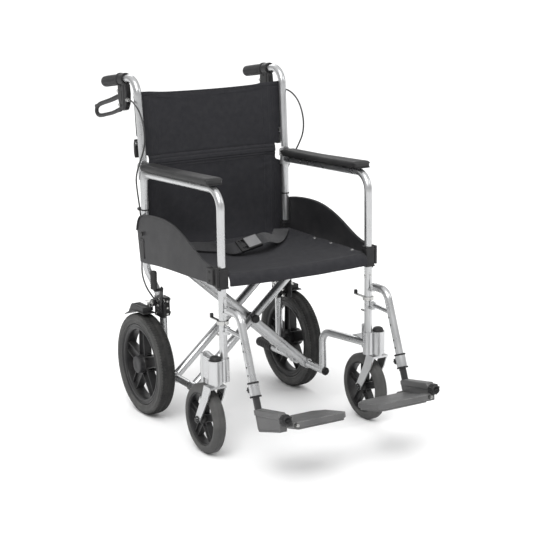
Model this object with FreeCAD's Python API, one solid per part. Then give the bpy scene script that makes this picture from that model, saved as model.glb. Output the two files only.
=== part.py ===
import FreeCAD, Part
import math
import os

# Folding transport wheelchair. Millimetres, +Z up, occupant faces -Y, +X is the occupant's left.
# Places are measured from a point on the floor under the seat. The whole chair is moved along Y
# when it is written, so that the origin is the middle of its footprint.

# driving dimensions
origin_shift_y = -45.0      # moves the middle of the overall length to y = 0
tube_r = 11.0               # main frame tube
brace_r = 12.5              # cross brace tube
fit = 0.05                  # radial clearance of a running fit
post_x, post_y = 234.6, -170.8      # front post
cane_x, cane_y = 237.3, 280.7       # rear post and back cane
arm_z_front = 736.0
arm_z_rear = 719.0
hinge_z = 739.0             # back folding hinge
rail_x, rail_z = 198.0, 124.0       # lower rail
seat_x, seat_z = 222.0, 497.0       # seat rail
seat_front, seat_rear = -150.0, 262.0
wheel_x, wheel_y, wheel_r = 251.0, 281.0, 152.3
tyre_width = 50.0
caster_x, barrel_y = 264.0, -177.3
caster_y, caster_r = -112.8, 98.0
barrel_low, barrel_high = 214.5, 279.4
cross_z = rail_z + (seat_z - rail_z) * rail_x / (rail_x + seat_x)   # height of the scissor pivot
swing_y = -196.0            # pins that the legrest hangs on
foot_slope = math.radians(21.0)     # hanger tube, from vertical
plate_tilt = math.radians(13.0)     # footplate, toe up
plate_hinge = (209.0, -367.0, 150.0)

X = FreeCAD.Vector(1, 0, 0)
Y = FreeCAD.Vector(0, 1, 0)
Z = FreeCAD.Vector(0, 0, 1)


def vec(p):
    return FreeCAD.Vector(*p)


def between(a, b, r, inner=0.0):
    """A cylinder, or a ring when inner is given, from point a to point b."""
    start = vec(a)
    along = vec(b) - start
    solid = Part.makeCylinder(r, along.Length, start, along)
    if inner:
        solid = solid.cut(Part.makeCylinder(inner, along.Length, start, along))
    return solid


def across(x0, x1, y, z, r):
    return between((x0, y, z), (x1, y, z), r)


def upright(x, y, z0, z1, r, inner=0.0):
    return between((x, y, z0), (x, y, z1), r, inner)


def block(x0, x1, y0, y1, z0, z1):
    return Part.makeBox(x1 - x0, y1 - y0, z1 - z0, FreeCAD.Vector(x0, y0, z0))


def corner_radius(before, corner, after):
    """The largest soft bend that fits between two runs of a cable."""
    a, b = before - corner, after - corner
    turn = math.pi - a.getAngle(b)
    return 0.45 * min(a.Length, b.Length) / math.tan(turn / 2)


def bent_path(points, radii):
    """Straight runs joined by tangent arcs, one radius for each inner point."""
    points = [vec(p) for p in points]
    edges = []
    start = points[0]
    for i in range(1, len(points) - 1):
        corner = points[i]
        back = (points[i - 1] - corner).normalize()
        on = (points[i + 1] - corner).normalize()
        half = back.getAngle(on) / 2
        reach = radii[i - 1] / math.tan(half)
        first, last = corner + back * reach, corner + on * reach
        middle = (back + on).normalize()
        top = corner + middle * (radii[i - 1] / math.sin(half) - radii[i - 1])
        if (first - start).Length > 1e-6:
            edges.append(Part.LineSegment(start, first).toShape())
        edges.append(Part.Arc(first, top, last).toShape())
        start = last
    edges.append(Part.LineSegment(start, points[-1]).toShape())
    return Part.Wire(edges)


def bar(points, radii, r):
    """A round bar or tube swept along a bent path."""
    path = bent_path(points, radii)
    start = vec(points[0])
    ring = Part.Wire(Part.makeCircle(r, start, vec(points[1]) - start))
    return path.makePipeShell([ring], True, False)


def side_plate(outline, x0, x1):
    """A plate cut to an outline of (y, z) points, from x0 to x1."""
    points = [FreeCAD.Vector(x0, y, z) for y, z in outline]
    face = Part.Face(Part.makePolygon(points + points[:1]))
    return face.extrude(X * (x1 - x0))


def fuse(parts):
    solid = parts[0].fuse(parts[1:]) if len(parts) > 1 else parts[0]
    return solid.removeSplitter()


def cut(solid, tools):
    for tool in tools:
        solid = solid.cut(tool)
    return solid


def group(parts):
    return Part.makeCompound(parts)


def soften(solid, radius, chosen):
    """Rounds the edges that the test picks out."""
    edges = [e for e in solid.Edges if chosen(e)]
    return solid.makeFillet(radius, edges)


# ---- side frame -------------------------------------------------------------------------------

def lug_and_pin(z):
    """Bracket on the front post with an upright pin for the legrest."""
    plate = block(post_x - 7, post_x + 7, swing_y, post_y - 8, z - 6, z)
    nose = upright(post_x, swing_y, z - 6, z, 7)
    pin = upright(post_x, swing_y, z - 6, z + 17, 4)
    return [plate, nose, pin]


def front_post_tube():
    points = [
        (post_x, post_y, barrel_low),
        (post_x, post_y, arm_z_front),
        (cane_x, cane_y, arm_z_rear),
    ]
    tube = bar(points, [50], tube_r)
    tube = tube.cut(upright(cane_x, cane_y, 650, 780, 15))
    return fuse([tube] + lug_and_pin(410) + lug_and_pin(357))


def rear_post_bar(r):
    """The rear post's bent line, filled out to radius r."""
    points = [
        (cane_x, cane_y, 727),
        (cane_x, cane_y, 440),
        (rail_x, 262, 334),
        (rail_x, 262, rail_z + 2),
    ]
    return bar(points, [60, 60], r)


def rear_post_tube():
    return rear_post_bar(tube_r).cut(between((rail_x, 0, rail_z), (rail_x, 330, rail_z), tube_r))


def caster_housing():
    """Extruded housing: post sleeve, caster barrel and a thin rear lobe."""
    sleeve = upright(post_x, post_y, barrel_low, barrel_high, 15)
    barrel = upright(caster_x, barrel_y, barrel_low, barrel_high, 19.5)
    rear_web = block(caster_x - 3, caster_x + 3, barrel_y, -108, barrel_low + 2, barrel_high - 2)
    rear_lobe = upright(caster_x, -105, barrel_low - 1, barrel_high + 4, 6)
    housing = fuse([sleeve, barrel, rear_web, rear_lobe])
    post_hole = upright(post_x, post_y, barrel_low - 1, barrel_high + 1, tube_r)
    stem_hole = upright(caster_x, barrel_y, barrel_low - 1, barrel_high + 1, 8 + fit)
    return cut(housing, [post_hole, stem_hole])


def lower_frame():
    """Caster housing, drop tube and lower rail, welded."""
    rail = between((rail_x, 0, rail_z), (rail_x, 322, rail_z), tube_r)
    points = [(231, -166, 247), (rail_x, 12, 245), (rail_x, 12, rail_z)]
    drop = bar(points, [32], tube_r)
    drop = drop.cut(upright(post_x, post_y, 200, 300, 14))
    gusset = side_plate([(-158, 257), (-158, 276), (-105, 257)], post_x - 11, post_x - 8)
    return fuse([caster_housing(), rail, drop, gusset])


def rail_saddle(y, toward):
    """Black block clamped to a post, and the floor and two cheeks of the cup for the seat rail."""
    x = post_x if toward > 0 else cane_x
    room = tube_r + 0.6
    near, stop, far = (y + reach * toward for reach in (12, 18.4, 34))
    body = block(x - 14, 248.6, y - 12.5, y + 12.5, 468, 530)
    wall = block(208, x + 4, min(near, stop), max(near, stop), 478, 499)
    base = fuse([body, wall]).cut(upright(x, y, 400, 600, tube_r))
    y0, y1 = min(stop, far), max(stop, far)
    floor = block(208, x + 4, y0, y1, 478, seat_z - room)
    inner = block(208, seat_x - room, y0, y1, seat_z - room, 499)
    outer = block(seat_x + room, x + 4, y0, y1, seat_z - room, 499)
    return [base, floor, inner, outer]


def frame_fittings():
    """Black mouldings of one side: seat rail saddles, caster cap, rail plug and rubber tip."""
    dome = Part.makeSphere(22, FreeCAD.Vector(caster_x, barrel_y, barrel_high - 16))
    cap = upright(caster_x, barrel_y, barrel_high, barrel_high + 12, 15.5).common(dome)
    plug = between((rail_x, -5, rail_z), (rail_x, 0, rail_z), tube_r + 1)
    plug = soften(plug, 2, lambda e: e.CenterOfMass.y < -4)
    tip = between((rail_x, 300, rail_z), (rail_x, 385, rail_z), 15)
    tip = soften(tip, 4, lambda e: e.CenterOfMass.y > 384)
    tip = tip.cut(between((rail_x, 280, rail_z), (rail_x, 322, rail_z), tube_r))
    return group(rail_saddle(post_y, 1) + rail_saddle(cane_y, -1) + [cap, plug, tip])


def skirt_guard():
    """Moulded side panel that rises at the back, where clothing would touch the wheel."""
    x0, x1 = 248.8, 251.8
    top = [
        (314, 549), (307, 587), (288, 597), (225, 607), (158, 611),
        (96, 609), (36, 594), (-22, 571), (-78, 543), (-118, 530), (-163, 528),
    ]
    low = [(-166, 481), (-104, 478), (-17, 474), (105, 470), (180, 466), (260, 458), (299, 456)]
    top_edge = Part.BSplineCurve()
    top_edge.interpolate([FreeCAD.Vector(x0, y, z) for y, z in top])
    low_edge = Part.BSplineCurve()
    low_edge.interpolate([FreeCAD.Vector(x0, y, z) for y, z in low])
    front = Part.LineSegment(FreeCAD.Vector(x0, *top[-1]), FreeCAD.Vector(x0, *low[0]))
    back = Part.LineSegment(FreeCAD.Vector(x0, *low[-1]), FreeCAD.Vector(x0, *top[0]))
    outline = Part.Wire([c.toShape() for c in (top_edge, front, low_edge, back)])
    panel = Part.Face(outline).extrude(X * (x1 - x0))
    clips = [
        block(x1, 262, post_y + 6, post_y + 34, 486, 524),
        across(x1, 256, cane_y - 8, 545, 6),
    ]
    return fuse([panel] + clips)


def arm_pad():
    """Crowned foam pad lying on the arm tube."""
    fall = math.atan2(arm_z_front - arm_z_rear, cane_y - post_y)
    length, width, height = 407.0, 48.0, 20.0
    pad = block(-width / 2, width / 2, -length / 2, length / 2, 0, height)
    pad = soften(pad, 9, lambda e: e.CenterOfMass.z > height - 1)
    pad = soften(pad, 6, lambda e: abs(e.CenterOfMass.z - 5.5) < 5.5 and e.Length < 12)
    middle = 58.0
    z = arm_z_front - (middle - post_y) * math.tan(fall) + tube_r / math.cos(fall) + 0.1
    pad.rotate(FreeCAD.Vector(0, 0, 0), X, -math.degrees(fall))
    pad.translate(FreeCAD.Vector(post_x + 0.5, middle, z))
    return pad


def back_hinge():
    """Cast sleeve on the rear post with two cheeks and the cross pin of the folding back."""
    sleeve = upright(cane_x, cane_y, 702, 731, 15, tube_r)
    parts = [sleeve]
    for x0, x1 in ((cane_x - 14, cane_x - 9), (cane_x + 9, cane_x + 14)):
        cheek = block(x0, x1, cane_y - 12, cane_y + 12, 727.5, hinge_z)
        parts += [cheek, across(x0, x1, cane_y, hinge_z, 12)]
    parts.append(across(cane_x - 15.5, cane_x + 15.5, cane_y, hinge_z, 4))
    return cut(fuse(parts), [upright(cane_x, cane_y, 690, 727.5, tube_r)])


def brake_bracket():
    """Black clamp on the rear post that carries the parking brake, and the axle block."""
    clamp = block(184, 213, 245, 279, 296, 352)
    outline = [(214, 300), (228, 296), (279, 296), (279, 356), (240, 362), (214, 340)]
    cheek = side_plate(outline, 213, 217)
    axle_block = block(184, 223, 240, 298, 136, 170)
    post = upright(rail_x, 262, 100, 160, tube_r)
    post_room = rear_post_bar(tube_r + 0.03)
    axle = across(170, 240, wheel_y, wheel_r, 6)
    pivots = [across(216, 227.5, 236, 322, 4), across(216, 230, 262, 340, 3.5)]
    return group([
        fuse([fuse([clamp, cheek]).cut(post_room)] + pivots),
        cut(axle_block, [post_room, post, axle, between((rail_x, 0, rail_z), (rail_x, 330, rail_z), tube_r)]),
    ])


def rear_axle():
    """Axle bolt of the rear wheel with its nut, and the two screws of the brake clamp."""
    bolt = fuse([
        across(176, 283, wheel_y, wheel_r, 6),
        across(279, 286, wheel_y, wheel_r, 10),
    ])
    nut = across(176, 184, wheel_y, wheel_r, 9).cut(across(170, 190, wheel_y, wheel_r, 6))
    screws = [across(178, 184, 262, z, 5) for z in (308, 336)]
    return group([bolt, nut] + screws)


# ---- wheels -----------------------------------------------------------------------------------

def turned(profile, x, y, z):
    """A ring turned about a wheel's axle from (distance along X, radius) points."""
    points = [FreeCAD.Vector(x + a, y, z + r) for a, r in profile]
    face = Part.Face(Part.makePolygon(points + points[:1]))
    return face.revolve(FreeCAD.Vector(x, y, z), X, 360)


def spokes(x, y, z, inner, outer, widths, depth, count):
    wide, narrow = widths
    arms = []
    for k in range(count):
        outline = [(-wide / 2, inner), (wide / 2, inner), (narrow / 2, outer), (-narrow / 2, outer)]
        arm = side_plate(outline, x - depth / 2, x + depth / 2)
        arm.translate(FreeCAD.Vector(0, y, z))
        arm.rotate(FreeCAD.Vector(x, y, z), X, 360.0 * k / count)
        arms.append(arm)
    return arms


def rear_wheel():
    """Moulded wheel: hub, five broad spokes and rim."""
    hub = across(wheel_x - 26, wheel_x + 27.5, wheel_y, wheel_r, 27)
    rim = turned([(-20, 108), (20, 108), (20, 121), (-20, 121)], wheel_x, wheel_y, wheel_r)
    arms = spokes(wheel_x, wheel_y, wheel_r, 20, 110, (38, 30), 24, 5)
    wheel = fuse([hub, rim] + arms)
    bore = across(wheel_x - 40, wheel_x + 40, wheel_y, wheel_r, 6 + fit)
    return wheel.cut(bore)


def rear_tyre():
    half = tyre_width / 2
    profile = [
        (-20, 121), (20, 121), (half - 2, 127), (half, 137), (half - 3, 146), (13, wheel_r - 1),
        (0, wheel_r), (-13, wheel_r - 1), (3 - half, 146), (-half, 137), (2 - half, 127),
    ]
    return turned(profile, wheel_x, wheel_y, wheel_r)


def caster_wheel():
    """Front wheel: hub, five spokes and rim with its tyre moulded on."""
    hub = across(caster_x - 18, caster_x + 18, caster_y, caster_r, 17)
    profile = [
        (-14, 69), (14, 69), (17, 74), (17.5, 84), (14, 92), (8, 97), (0, caster_r),
        (-8, 97), (-14, 92), (-17.5, 84), (-17, 74),
    ]
    rim = turned(profile, caster_x, caster_y, caster_r)
    arms = spokes(caster_x, caster_y, caster_r, 12, 71, (22, 18), 18, 5)
    wheel = fuse([hub, rim] + arms)
    return wheel.cut(across(caster_x - 30, caster_x + 30, caster_y, caster_r, 4 + fit))


def caster_fork():
    """Swivelling fork: stem, crown, two flat legs and the axle bolt."""
    stem = upright(caster_x, barrel_y, 204, 276, 8)
    washer = upright(caster_x, barrel_y, 208, 213.5, 14)
    crown = block(caster_x - 25, caster_x + 25, barrel_y - 14, barrel_y + 22, 202, 208)
    outline = [
        (barrel_y - 14, 208), (barrel_y + 22, 208), (barrel_y + 34, 178),
        (caster_y + 11, caster_r + 6), (caster_y + 4, caster_r - 11), (caster_y - 11, caster_r - 4),
        (barrel_y + 2, 170),
    ]
    legs = [side_plate(outline, x0, x0 + 4) for x0 in (caster_x - 25, caster_x + 21)]
    axle = across(caster_x - 29, caster_x + 29, caster_y, caster_r, 4)
    heads = [across(caster_x - 30, caster_x - 25, caster_y, caster_r, 7),
             across(caster_x + 25, caster_x + 30, caster_y, caster_r, 7)]
    return fuse([stem, washer, crown, axle] + legs + heads)


# ---- back cane, grip and attendant's brake ----------------------------------------------------

cane_lean = math.tan(math.radians(4.3))
grip_fall = math.tan(math.radians(8.05))
cane_top = (241.0, 300.1, 993.7)        # where the cane's line meets the grip's line
grip_start, grip_end = 405.0, 515.0
loop_pivot = (405.0, 905.0)
release_pivot = (305.0, 804.0)


def on_grip(y):
    """The point of the grip's centre line at this y."""
    return (241.0, y, cane_top[2] - (y - cane_top[1]) * grip_fall)


def upper_cane():
    foot_z = 756.0
    points = [
        (cane_x, cane_y + (foot_z - hinge_z) * cane_lean, foot_z),
        cane_top,
        on_grip(grip_end - 6),
    ]
    tube = bar(points, [48], tube_r)
    knuckle = across(cane_x - 8, cane_x + 8, cane_y, hinge_z, 11)
    neck = block(cane_x - 8, cane_x + 8, cane_y - 7, cane_y + 7, hinge_z, foot_z + 6)
    y, z = release_pivot
    lug = block(cane_x - 5, cane_x + 5, cane_y + 10, y + 6, z - 6, z + 6)
    pin = across(cane_x - 10, cane_x + 10, y, z, 2.5)
    body = fuse([tube, knuckle, neck, lug, pin])
    return body.cut(across(cane_x - 20, cane_x + 20, cane_y, hinge_z, 4 + fit))


def push_grip():
    """Rubber grip with a flange collar at its front end and a rounded closed rear end."""
    sleeve = between(on_grip(grip_start), on_grip(grip_end), 16.5)
    sleeve = soften(sleeve, 5, lambda e: e.CenterOfMass.y > grip_end - 1)
    collar = between(on_grip(grip_start - 3), on_grip(grip_start + 4), 19.5)
    grip = fuse([sleeve, collar])
    return grip.cut(between(on_grip(grip_start - 5), on_grip(grip_end - 6), tube_r))


def lever_housing():
    """Moulded bracket that clamps the cane in front of the grip and holds the loop lever."""
    clamp = between(on_grip(368), on_grip(400), 16.5)
    outline = [
        (372, 985), (402, 980), (414, 940), (414, 918), (400, 893), (376, 889),
        (362, 905), (358, 940), (364, 965),
    ]
    x0, x1 = 229.5, 249.5
    body = side_plate(outline, x0, x1)
    slot = side_plate([(396, 950), (430, 950), (430, 870), (392, 870)], 234.0, 245.0)
    pin = across(x0, x1, *loop_pivot, 3)
    tube = between(on_grip(340), on_grip(420), tube_r)
    collar = between(on_grip(401.5), on_grip(440), 20)
    ferrule = between((245, 344, 924), (245, 363, 924), 5)
    return fuse([cut(fuse([clamp, body]), [slot, tube, collar]), pin, ferrule])


def brake_lever():
    """Loop lever, squeezed up towards the grip."""
    outer = [
        (412, 935), (430, 938), (582, 893), (598, 880), (596, 858), (560, 850),
        (430, 884), (398, 893), (396, 914),
    ]
    inner = [(434, 921), (566, 880), (578, 872), (572, 863), (556, 862), (440, 895), (424, 904)]
    x0, x1 = 234.4, 244.6
    loop = side_plate(outer, x0, x1).cut(side_plate(inner, x0 - 1, x1 + 1))
    return loop.cut(across(x0 - 5, x1 + 5, *loop_pivot, 3 + fit))


cable_route = [
    (245, 343, 924), (253, 318, 927), (259, 282, 922), (261, 245, 903), (262, 221, 872),
    (263, 211, 834), (264, 219, 797), (264, 242, 766), (263, 266, 736), (259, 288, 704),
    (250, 301, 666), (244, 303, 625), (241, 301, 584), (241, 300, 542), (241, 301, 500),
    (243, 300, 459), (249, 291, 423), (250, 270, 394), (243, 254, 370), (232, 247, 352),
]
cable_r = 2.4


def brake_cable():
    route = [vec(p) for p in cable_route]
    radii = [corner_radius(*route[i - 1:i + 2]) for i in range(1, len(route) - 1)]
    print("cable radii", [round(r) for r in radii])
    cable = bar(cable_route, radii, cable_r)
    print("cable volume / (section x length)",
          round(cable.Volume / (math.pi * cable_r ** 2 * bent_path(cable_route, radii).Length), 4))
    return cable


def release_lever():
    """Teardrop lever behind the cane that frees the folding back."""
    y, z = release_pivot
    ear = [(y - 3, z + 5), (y + 12, z + 8), (y + 12, z - 14), (y + 1, z - 6)]
    parts = []
    for x0 in (cane_x - 9, cane_x + 6):
        parts += [across(x0, x0 + 3, y, z, 6), side_plate(ear, x0, x0 + 3)]
    outline = [
        (y + 8, z + 10), (y + 16, z + 8), (y + 19, z - 8), (y + 17, z - 36),
        (y + 11, z - 44), (y + 8, z - 30),
    ]
    parts.append(side_plate(outline, cane_x - 9, cane_x + 9))
    lever = fuse(parts)
    return lever.cut(across(cane_x - 20, cane_x + 20, y, z, 2.5 + fit))


# ---- legrest ----------------------------------------------------------------------------------

hanger_top = (234.0, -264.0, 415.0)     # corner where the hanger turns down


def on_hanger(z):
    """The point of the hanger's sloping centre line at this height."""
    return (hanger_top[0], hanger_top[1] - (hanger_top[2] - z) * math.tan(foot_slope), z)


def hanger():
    """Swing-away tube with two sleeves that hang on the pins of the front post."""
    tube = bar([(234.0, swing_y - 13, 418.5), on_hanger(418.5), on_hanger(215)], [34], tube_r)
    upper = upright(post_x, swing_y, 411, 423, 8)
    tab = block(post_x - 5, post_x + 5, swing_y - 16, swing_y, 412, 422)
    lower = upright(post_x, swing_y, 358, 370, 8)
    link = between((234.3, swing_y - 3, 364), (234.3, -284, 361), 6)
    body = fuse([tube, upper, tab, lower, link])
    pins = [upright(post_x, swing_y, 340, 430, 4 + fit)]
    socket = between(on_hanger(200), on_hanger(340), 9.5 + fit)
    holes = [across(215, 234, on_hanger(z)[1], z, 2.5) for z in (350, 330, 290, 270)]
    return cut(body, pins + [socket] + holes)


def hanger_collar():
    """Clamp collar at the foot of the hanger: silver band, black rings, hand knob and screw."""
    band = between(on_hanger(249), on_hanger(219), 14, tube_r)
    rings = [between(on_hanger(z), on_hanger(z - 4), 15.5, tube_r) for z in (253, 219)]
    out = FreeCAD.Vector(0, math.cos(foot_slope), -math.sin(foot_slope))
    middle = vec(on_hanger(236))
    knob = between(middle + out * 14, middle + out * 26, 8)
    return group([fuse([band] + rings), knob])


def foot_extension():
    """Height tube that slides in the hanger, with the moulded bracket of the footplate."""
    low_z = 172.0
    tube = between(on_hanger(335), on_hanger(low_z), 9.5)
    x0, x1 = 220.0, 244.0
    rear, front = -349.0, -478.0
    rise = math.tan(plate_tilt)
    outline = [
        (rear, 200), (front + 8, 207), (front, 198), (front, 128 + (rear - front) * rise),
        (rear - 20, 130), (rear, 138),
    ]
    bracket = side_plate(outline, x0, x1)
    hx, hy, hz = plate_hinge
    start = (hx, hy + 9, hz - 9 * rise)
    end = (hx, hy - 143, hz + 143 * rise)
    rod = between(start, end, 4)
    ear_z = hz - 10 * rise
    ear = block(hx - 7, x0 + 1, hy + 2, hy + 10, ear_z - 8, ear_z + 8)
    knob = between((232, front + 1, 193), (232, front - 22, 197), 16)
    return group([fuse([tube, bracket, rod, ear]), knob])


def footplate():
    """Moulded plate that flips up about the rod on its bracket."""
    hx, hy, hz = plate_hinge
    rise = math.tan(plate_tilt)
    length, depth, half = 159.0, 136.0, 6.5
    outline = [
        (0, 0), (0, -depth), (10 - length, -depth), (-length, 12 - depth), (-length, -26),
        (26 - length, 0),
    ]
    points = [FreeCAD.Vector(hx + a, hy + b, hz - half) for a, b in outline]
    plate = Part.Face(Part.makePolygon(points + points[:1])).extrude(Z * 2 * half)
    knuckle = between((hx, hy, hz), (hx, hy - depth, hz), 8)
    solid = fuse([plate, knuckle])
    solid.rotate(FreeCAD.Vector(hx, hy, hz), X, -math.degrees(plate_tilt))
    rod = between((hx, hy + 20, hz - 20 * rise), (hx, hy - 200, hz + 200 * rise), 4 + fit)
    return solid.cut(rod)


def latch_lever():
    """Flat release lever of the legrest latch, on a collar round the front post."""
    blade = block(post_x - 5, post_x + 5, post_y + 15, post_y + 66, 377, 380)
    lift = block(post_x - 5, post_x + 5, post_y + 63, post_y + 66, 377, 390)
    eye = upright(post_x, post_y, 374, 384, 16)
    body = fuse([blade, lift, eye])
    return body.cut(upright(post_x, post_y, 300, 500, tube_r + fit))


# ---- parking brake ----------------------------------------------------------------------------

def park_lever():
    """Hand lever of the parking brake with its rubber grip."""
    arm = side_plate([(229, 316), (243, 316), (243, 330), (229, 388), (215, 388), (229, 330)], 218, 221.5)
    eye = across(218, 221.5, 236, 322, 9)
    reach = between((219, 222, 384), (245, 222, 396), 5)
    grip = upright(245, 222, 390, 444, 10)
    grip = soften(grip, 4, lambda e: abs(e.Curve.Axis.z) > 0.9 if hasattr(e.Curve, "Axis") else False)
    body = fuse([arm, eye, reach, grip])
    return body.cut(across(200, 240, 236, 322, 4 + fit))


def brake_shoe():
    """Shoe that swings down on the tyre."""
    outline = [(243, 285), (345, 285), (384, 280), (384, 288), (345, 326), (241, 328)]
    shoe = side_plate(outline, 231, 272)
    arm = side_plate([(252, 328), (300, 316), (300, 334), (272, 350), (252, 350)], 222.5, 232)
    eye = across(222.5, 227, 262, 340, 9)
    tyre_room = across(200, 300, wheel_y, wheel_r, wheel_r + 6)
    body = fuse([shoe, arm, eye])
    return cut(body, [across(210, 240, 262, 340, 3.5 + fit), tyre_room])


# ---- cross brace, seat, back and belt ---------------------------------------------------------

def brace(side, rows, bolt_r):
    """Two crossing tubes, the sleeves on the lower rail and the seat rail on top, welded."""
    low = (-side * rail_x, rail_z)
    top = (side * seat_x, seat_z)
    parts = [between((top[0], seat_front, top[1]), (top[0], seat_rear, top[1]), tube_r)]
    for y in rows:
        parts.append(between((low[0], y, low[1]), (top[0], y, top[1]), brace_r))
        parts.append(between((low[0], y - 13, low[1]), (low[0], y + 13, low[1]), 15))
    body = fuse(parts)
    rail = between((low[0], -10, low[1]), (low[0], 330, low[1]), tube_r + fit)
    bolt = between((0, 0, cross_z), (0, 300, cross_z), bolt_r)
    return cut(body, [rail, bolt])


rows_b = (80.0, 196.0)      # tubes from the right rail up to the left seat rail
rows_a = (108.0, 168.0)     # tubes from the left rail up to the right seat rail


def centre_pivot():
    """Bolt through the four brace tubes, with a black end plug in front and a nut behind."""
    bolt = between((0, 60, cross_z), (0, 216, cross_z), 6)
    head = between((0, 58, cross_z), (0, 66, cross_z), 10)
    nut = between((0, 210, cross_z), (0, 217, cross_z), 10)
    return fuse([bolt, head, nut])


def seat_sling():
    """Upholstery between the seat rails; it sags in the middle."""
    top, low = seat_z + 17, seat_z + 8
    half = seat_x - tube_r - 3.4
    left = [(80, top - 8), (half, top - 2), (half, low), (half - 32, low - 24), (80, low - 28)]
    profile = left + [(-x, z) for x, z in reversed(left)]
    points = [FreeCAD.Vector(x, -190, z) for x, z in profile]
    return Part.Face(Part.makePolygon(points + points[:1])).extrude(Y * 448)


def back_panel(z0, z1, thick):
    """A flat panel behind the canes between two heights."""
    half = cane_x - tube_r + 0.7
    gap = tube_r + 2.0
    points = []
    for z, y in ((z0, 0), (z1, 0), (z1, thick), (z0, thick)):
        lean = cane_lean * (z - hinge_z) if z > hinge_z else 0.0
        points.append(FreeCAD.Vector(-half, cane_y + gap + lean + y, z))
    return Part.Face(Part.makePolygon(points + points[:1])).extrude(X * 2 * half)


def lap_belt():
    """Two webbing straps from the back corners of the seat to the buckle."""
    straps = []
    for side in (-1, 1):
        corner = [(40, 22, 0), (40, 62, 0), (200, 262, 8), (200, 214, 8)]
        points = [FreeCAD.Vector(side * x, y, 520 + z) for x, y, z in corner]
        face = Part.makeFilledFace(Part.makePolygon(points + points[:1]).Edges)
        straps.append(face.extrude(Z * 2.5))
    return group(straps)


def belt_buckle():
    """Side-release buckle lying on the seat."""
    body = block(-36, 36, 20, 64, 516, 530)
    return soften(body, 4, lambda e: e.Length < 20)


# ---- writing the parts ------------------------------------------------------------------------

side_parts = {
    "front_post_tube": front_post_tube,
    "rear_post_tube": rear_post_tube,
    "lower_frame": lower_frame,
    "frame_fittings": frame_fittings,
    "skirt_guard": skirt_guard,
    "arm_pad": arm_pad,
    "back_hinge": back_hinge,
    "brake_bracket": brake_bracket,
    "rear_axle": rear_axle,
    "rear_wheel": rear_wheel,
    "rear_tyre": rear_tyre,
    "caster_fork": caster_fork,
    "caster_wheel": caster_wheel,
    "upper_cane": upper_cane,
    "push_grip": push_grip,
    "lever_housing": lever_housing,
    "brake_lever": brake_lever,
    "brake_cable": brake_cable,
    "release_lever": release_lever,
    "hanger": hanger,
    "hanger_collar": hanger_collar,
    "foot_extension": foot_extension,
    "footplate": footplate,
    "latch_lever": latch_lever,
    "park_lever": park_lever,
    "brake_shoe": brake_shoe,
}

centre_parts = {
    "brace_a": brace(-1, rows_a, 6 + fit),
    "brace_b": brace(1, rows_b, 6),
    "centre_pivot": centre_pivot(),
    "seat_sling": seat_sling(),
    "back_sling_upper": back_panel(752, 950, 5),
    "back_sling_lower": back_panel(505, 748, 5),
    "lap_belt": lap_belt(),
    "belt_buckle": belt_buckle(),
}


def write(name, solid):
    solid = solid.copy()
    solid.translate(FreeCAD.Vector(0, origin_shift_y, 0))
    if not solid.isValid():
        print("not valid:", name)
    solid.exportStep("parts/" + name + ".step")


os.makedirs("parts", exist_ok=True)
for part_name, build in side_parts.items():
    left = build()
    write(part_name + "_left", left)
    write(part_name + "_right", left.mirror(FreeCAD.Vector(0, 0, 0), X))
for part_name, solid in centre_parts.items():
    write(part_name, solid)
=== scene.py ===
import math

import bmesh
import bpy
from mathutils import Matrix, Vector, noise
from mathutils.bvhtree import BVHTree


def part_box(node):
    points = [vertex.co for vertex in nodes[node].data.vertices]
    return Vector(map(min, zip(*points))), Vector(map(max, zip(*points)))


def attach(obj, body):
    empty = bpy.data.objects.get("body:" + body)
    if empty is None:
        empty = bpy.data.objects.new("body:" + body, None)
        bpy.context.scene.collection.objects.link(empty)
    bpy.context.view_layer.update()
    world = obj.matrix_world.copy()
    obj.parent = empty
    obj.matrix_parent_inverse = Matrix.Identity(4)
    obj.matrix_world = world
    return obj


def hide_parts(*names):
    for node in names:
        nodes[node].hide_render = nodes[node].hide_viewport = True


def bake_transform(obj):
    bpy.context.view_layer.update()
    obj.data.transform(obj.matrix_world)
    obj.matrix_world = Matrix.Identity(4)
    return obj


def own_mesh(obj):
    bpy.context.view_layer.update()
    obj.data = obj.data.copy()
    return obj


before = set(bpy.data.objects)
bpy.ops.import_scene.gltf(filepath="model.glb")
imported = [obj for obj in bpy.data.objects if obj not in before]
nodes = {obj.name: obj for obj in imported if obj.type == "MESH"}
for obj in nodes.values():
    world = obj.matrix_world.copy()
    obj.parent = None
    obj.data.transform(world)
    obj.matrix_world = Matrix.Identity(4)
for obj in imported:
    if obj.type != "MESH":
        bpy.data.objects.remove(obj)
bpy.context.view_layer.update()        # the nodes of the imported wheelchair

scene = bpy.context.scene
print("frame loaded:", len(nodes), "nodes")

# shapes are drawn in millimetres from a floor point under the seat, +X to the occupant's left;
# the frame has that point 45 mm in front of its own origin
toFrame = Matrix.Translation((0, -0.045, 0)) @ Matrix.Scale(0.001, 4)
sides = {"left": 1, "right": -1}

# places that several pieces share, on the occupant's left
frontPost = (234.6, -170.8)         # x and y of the upright tubes
rearPost = (237.3, 280.7)
casterBarrel = (264, -177.3)
lowerRail = (198, 124)              # x and z


def inFrame(point):
    return toFrame @ Vector(point)


# camera, lights and floor

cameraSetup = {
    "place": (-2.0662, -3.5840, 1.4355),
    "back": (-0.49124, -0.84016, 0.22984),
    "roll": -0.858,         # degrees
    "lens": 100.35,
}


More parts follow.
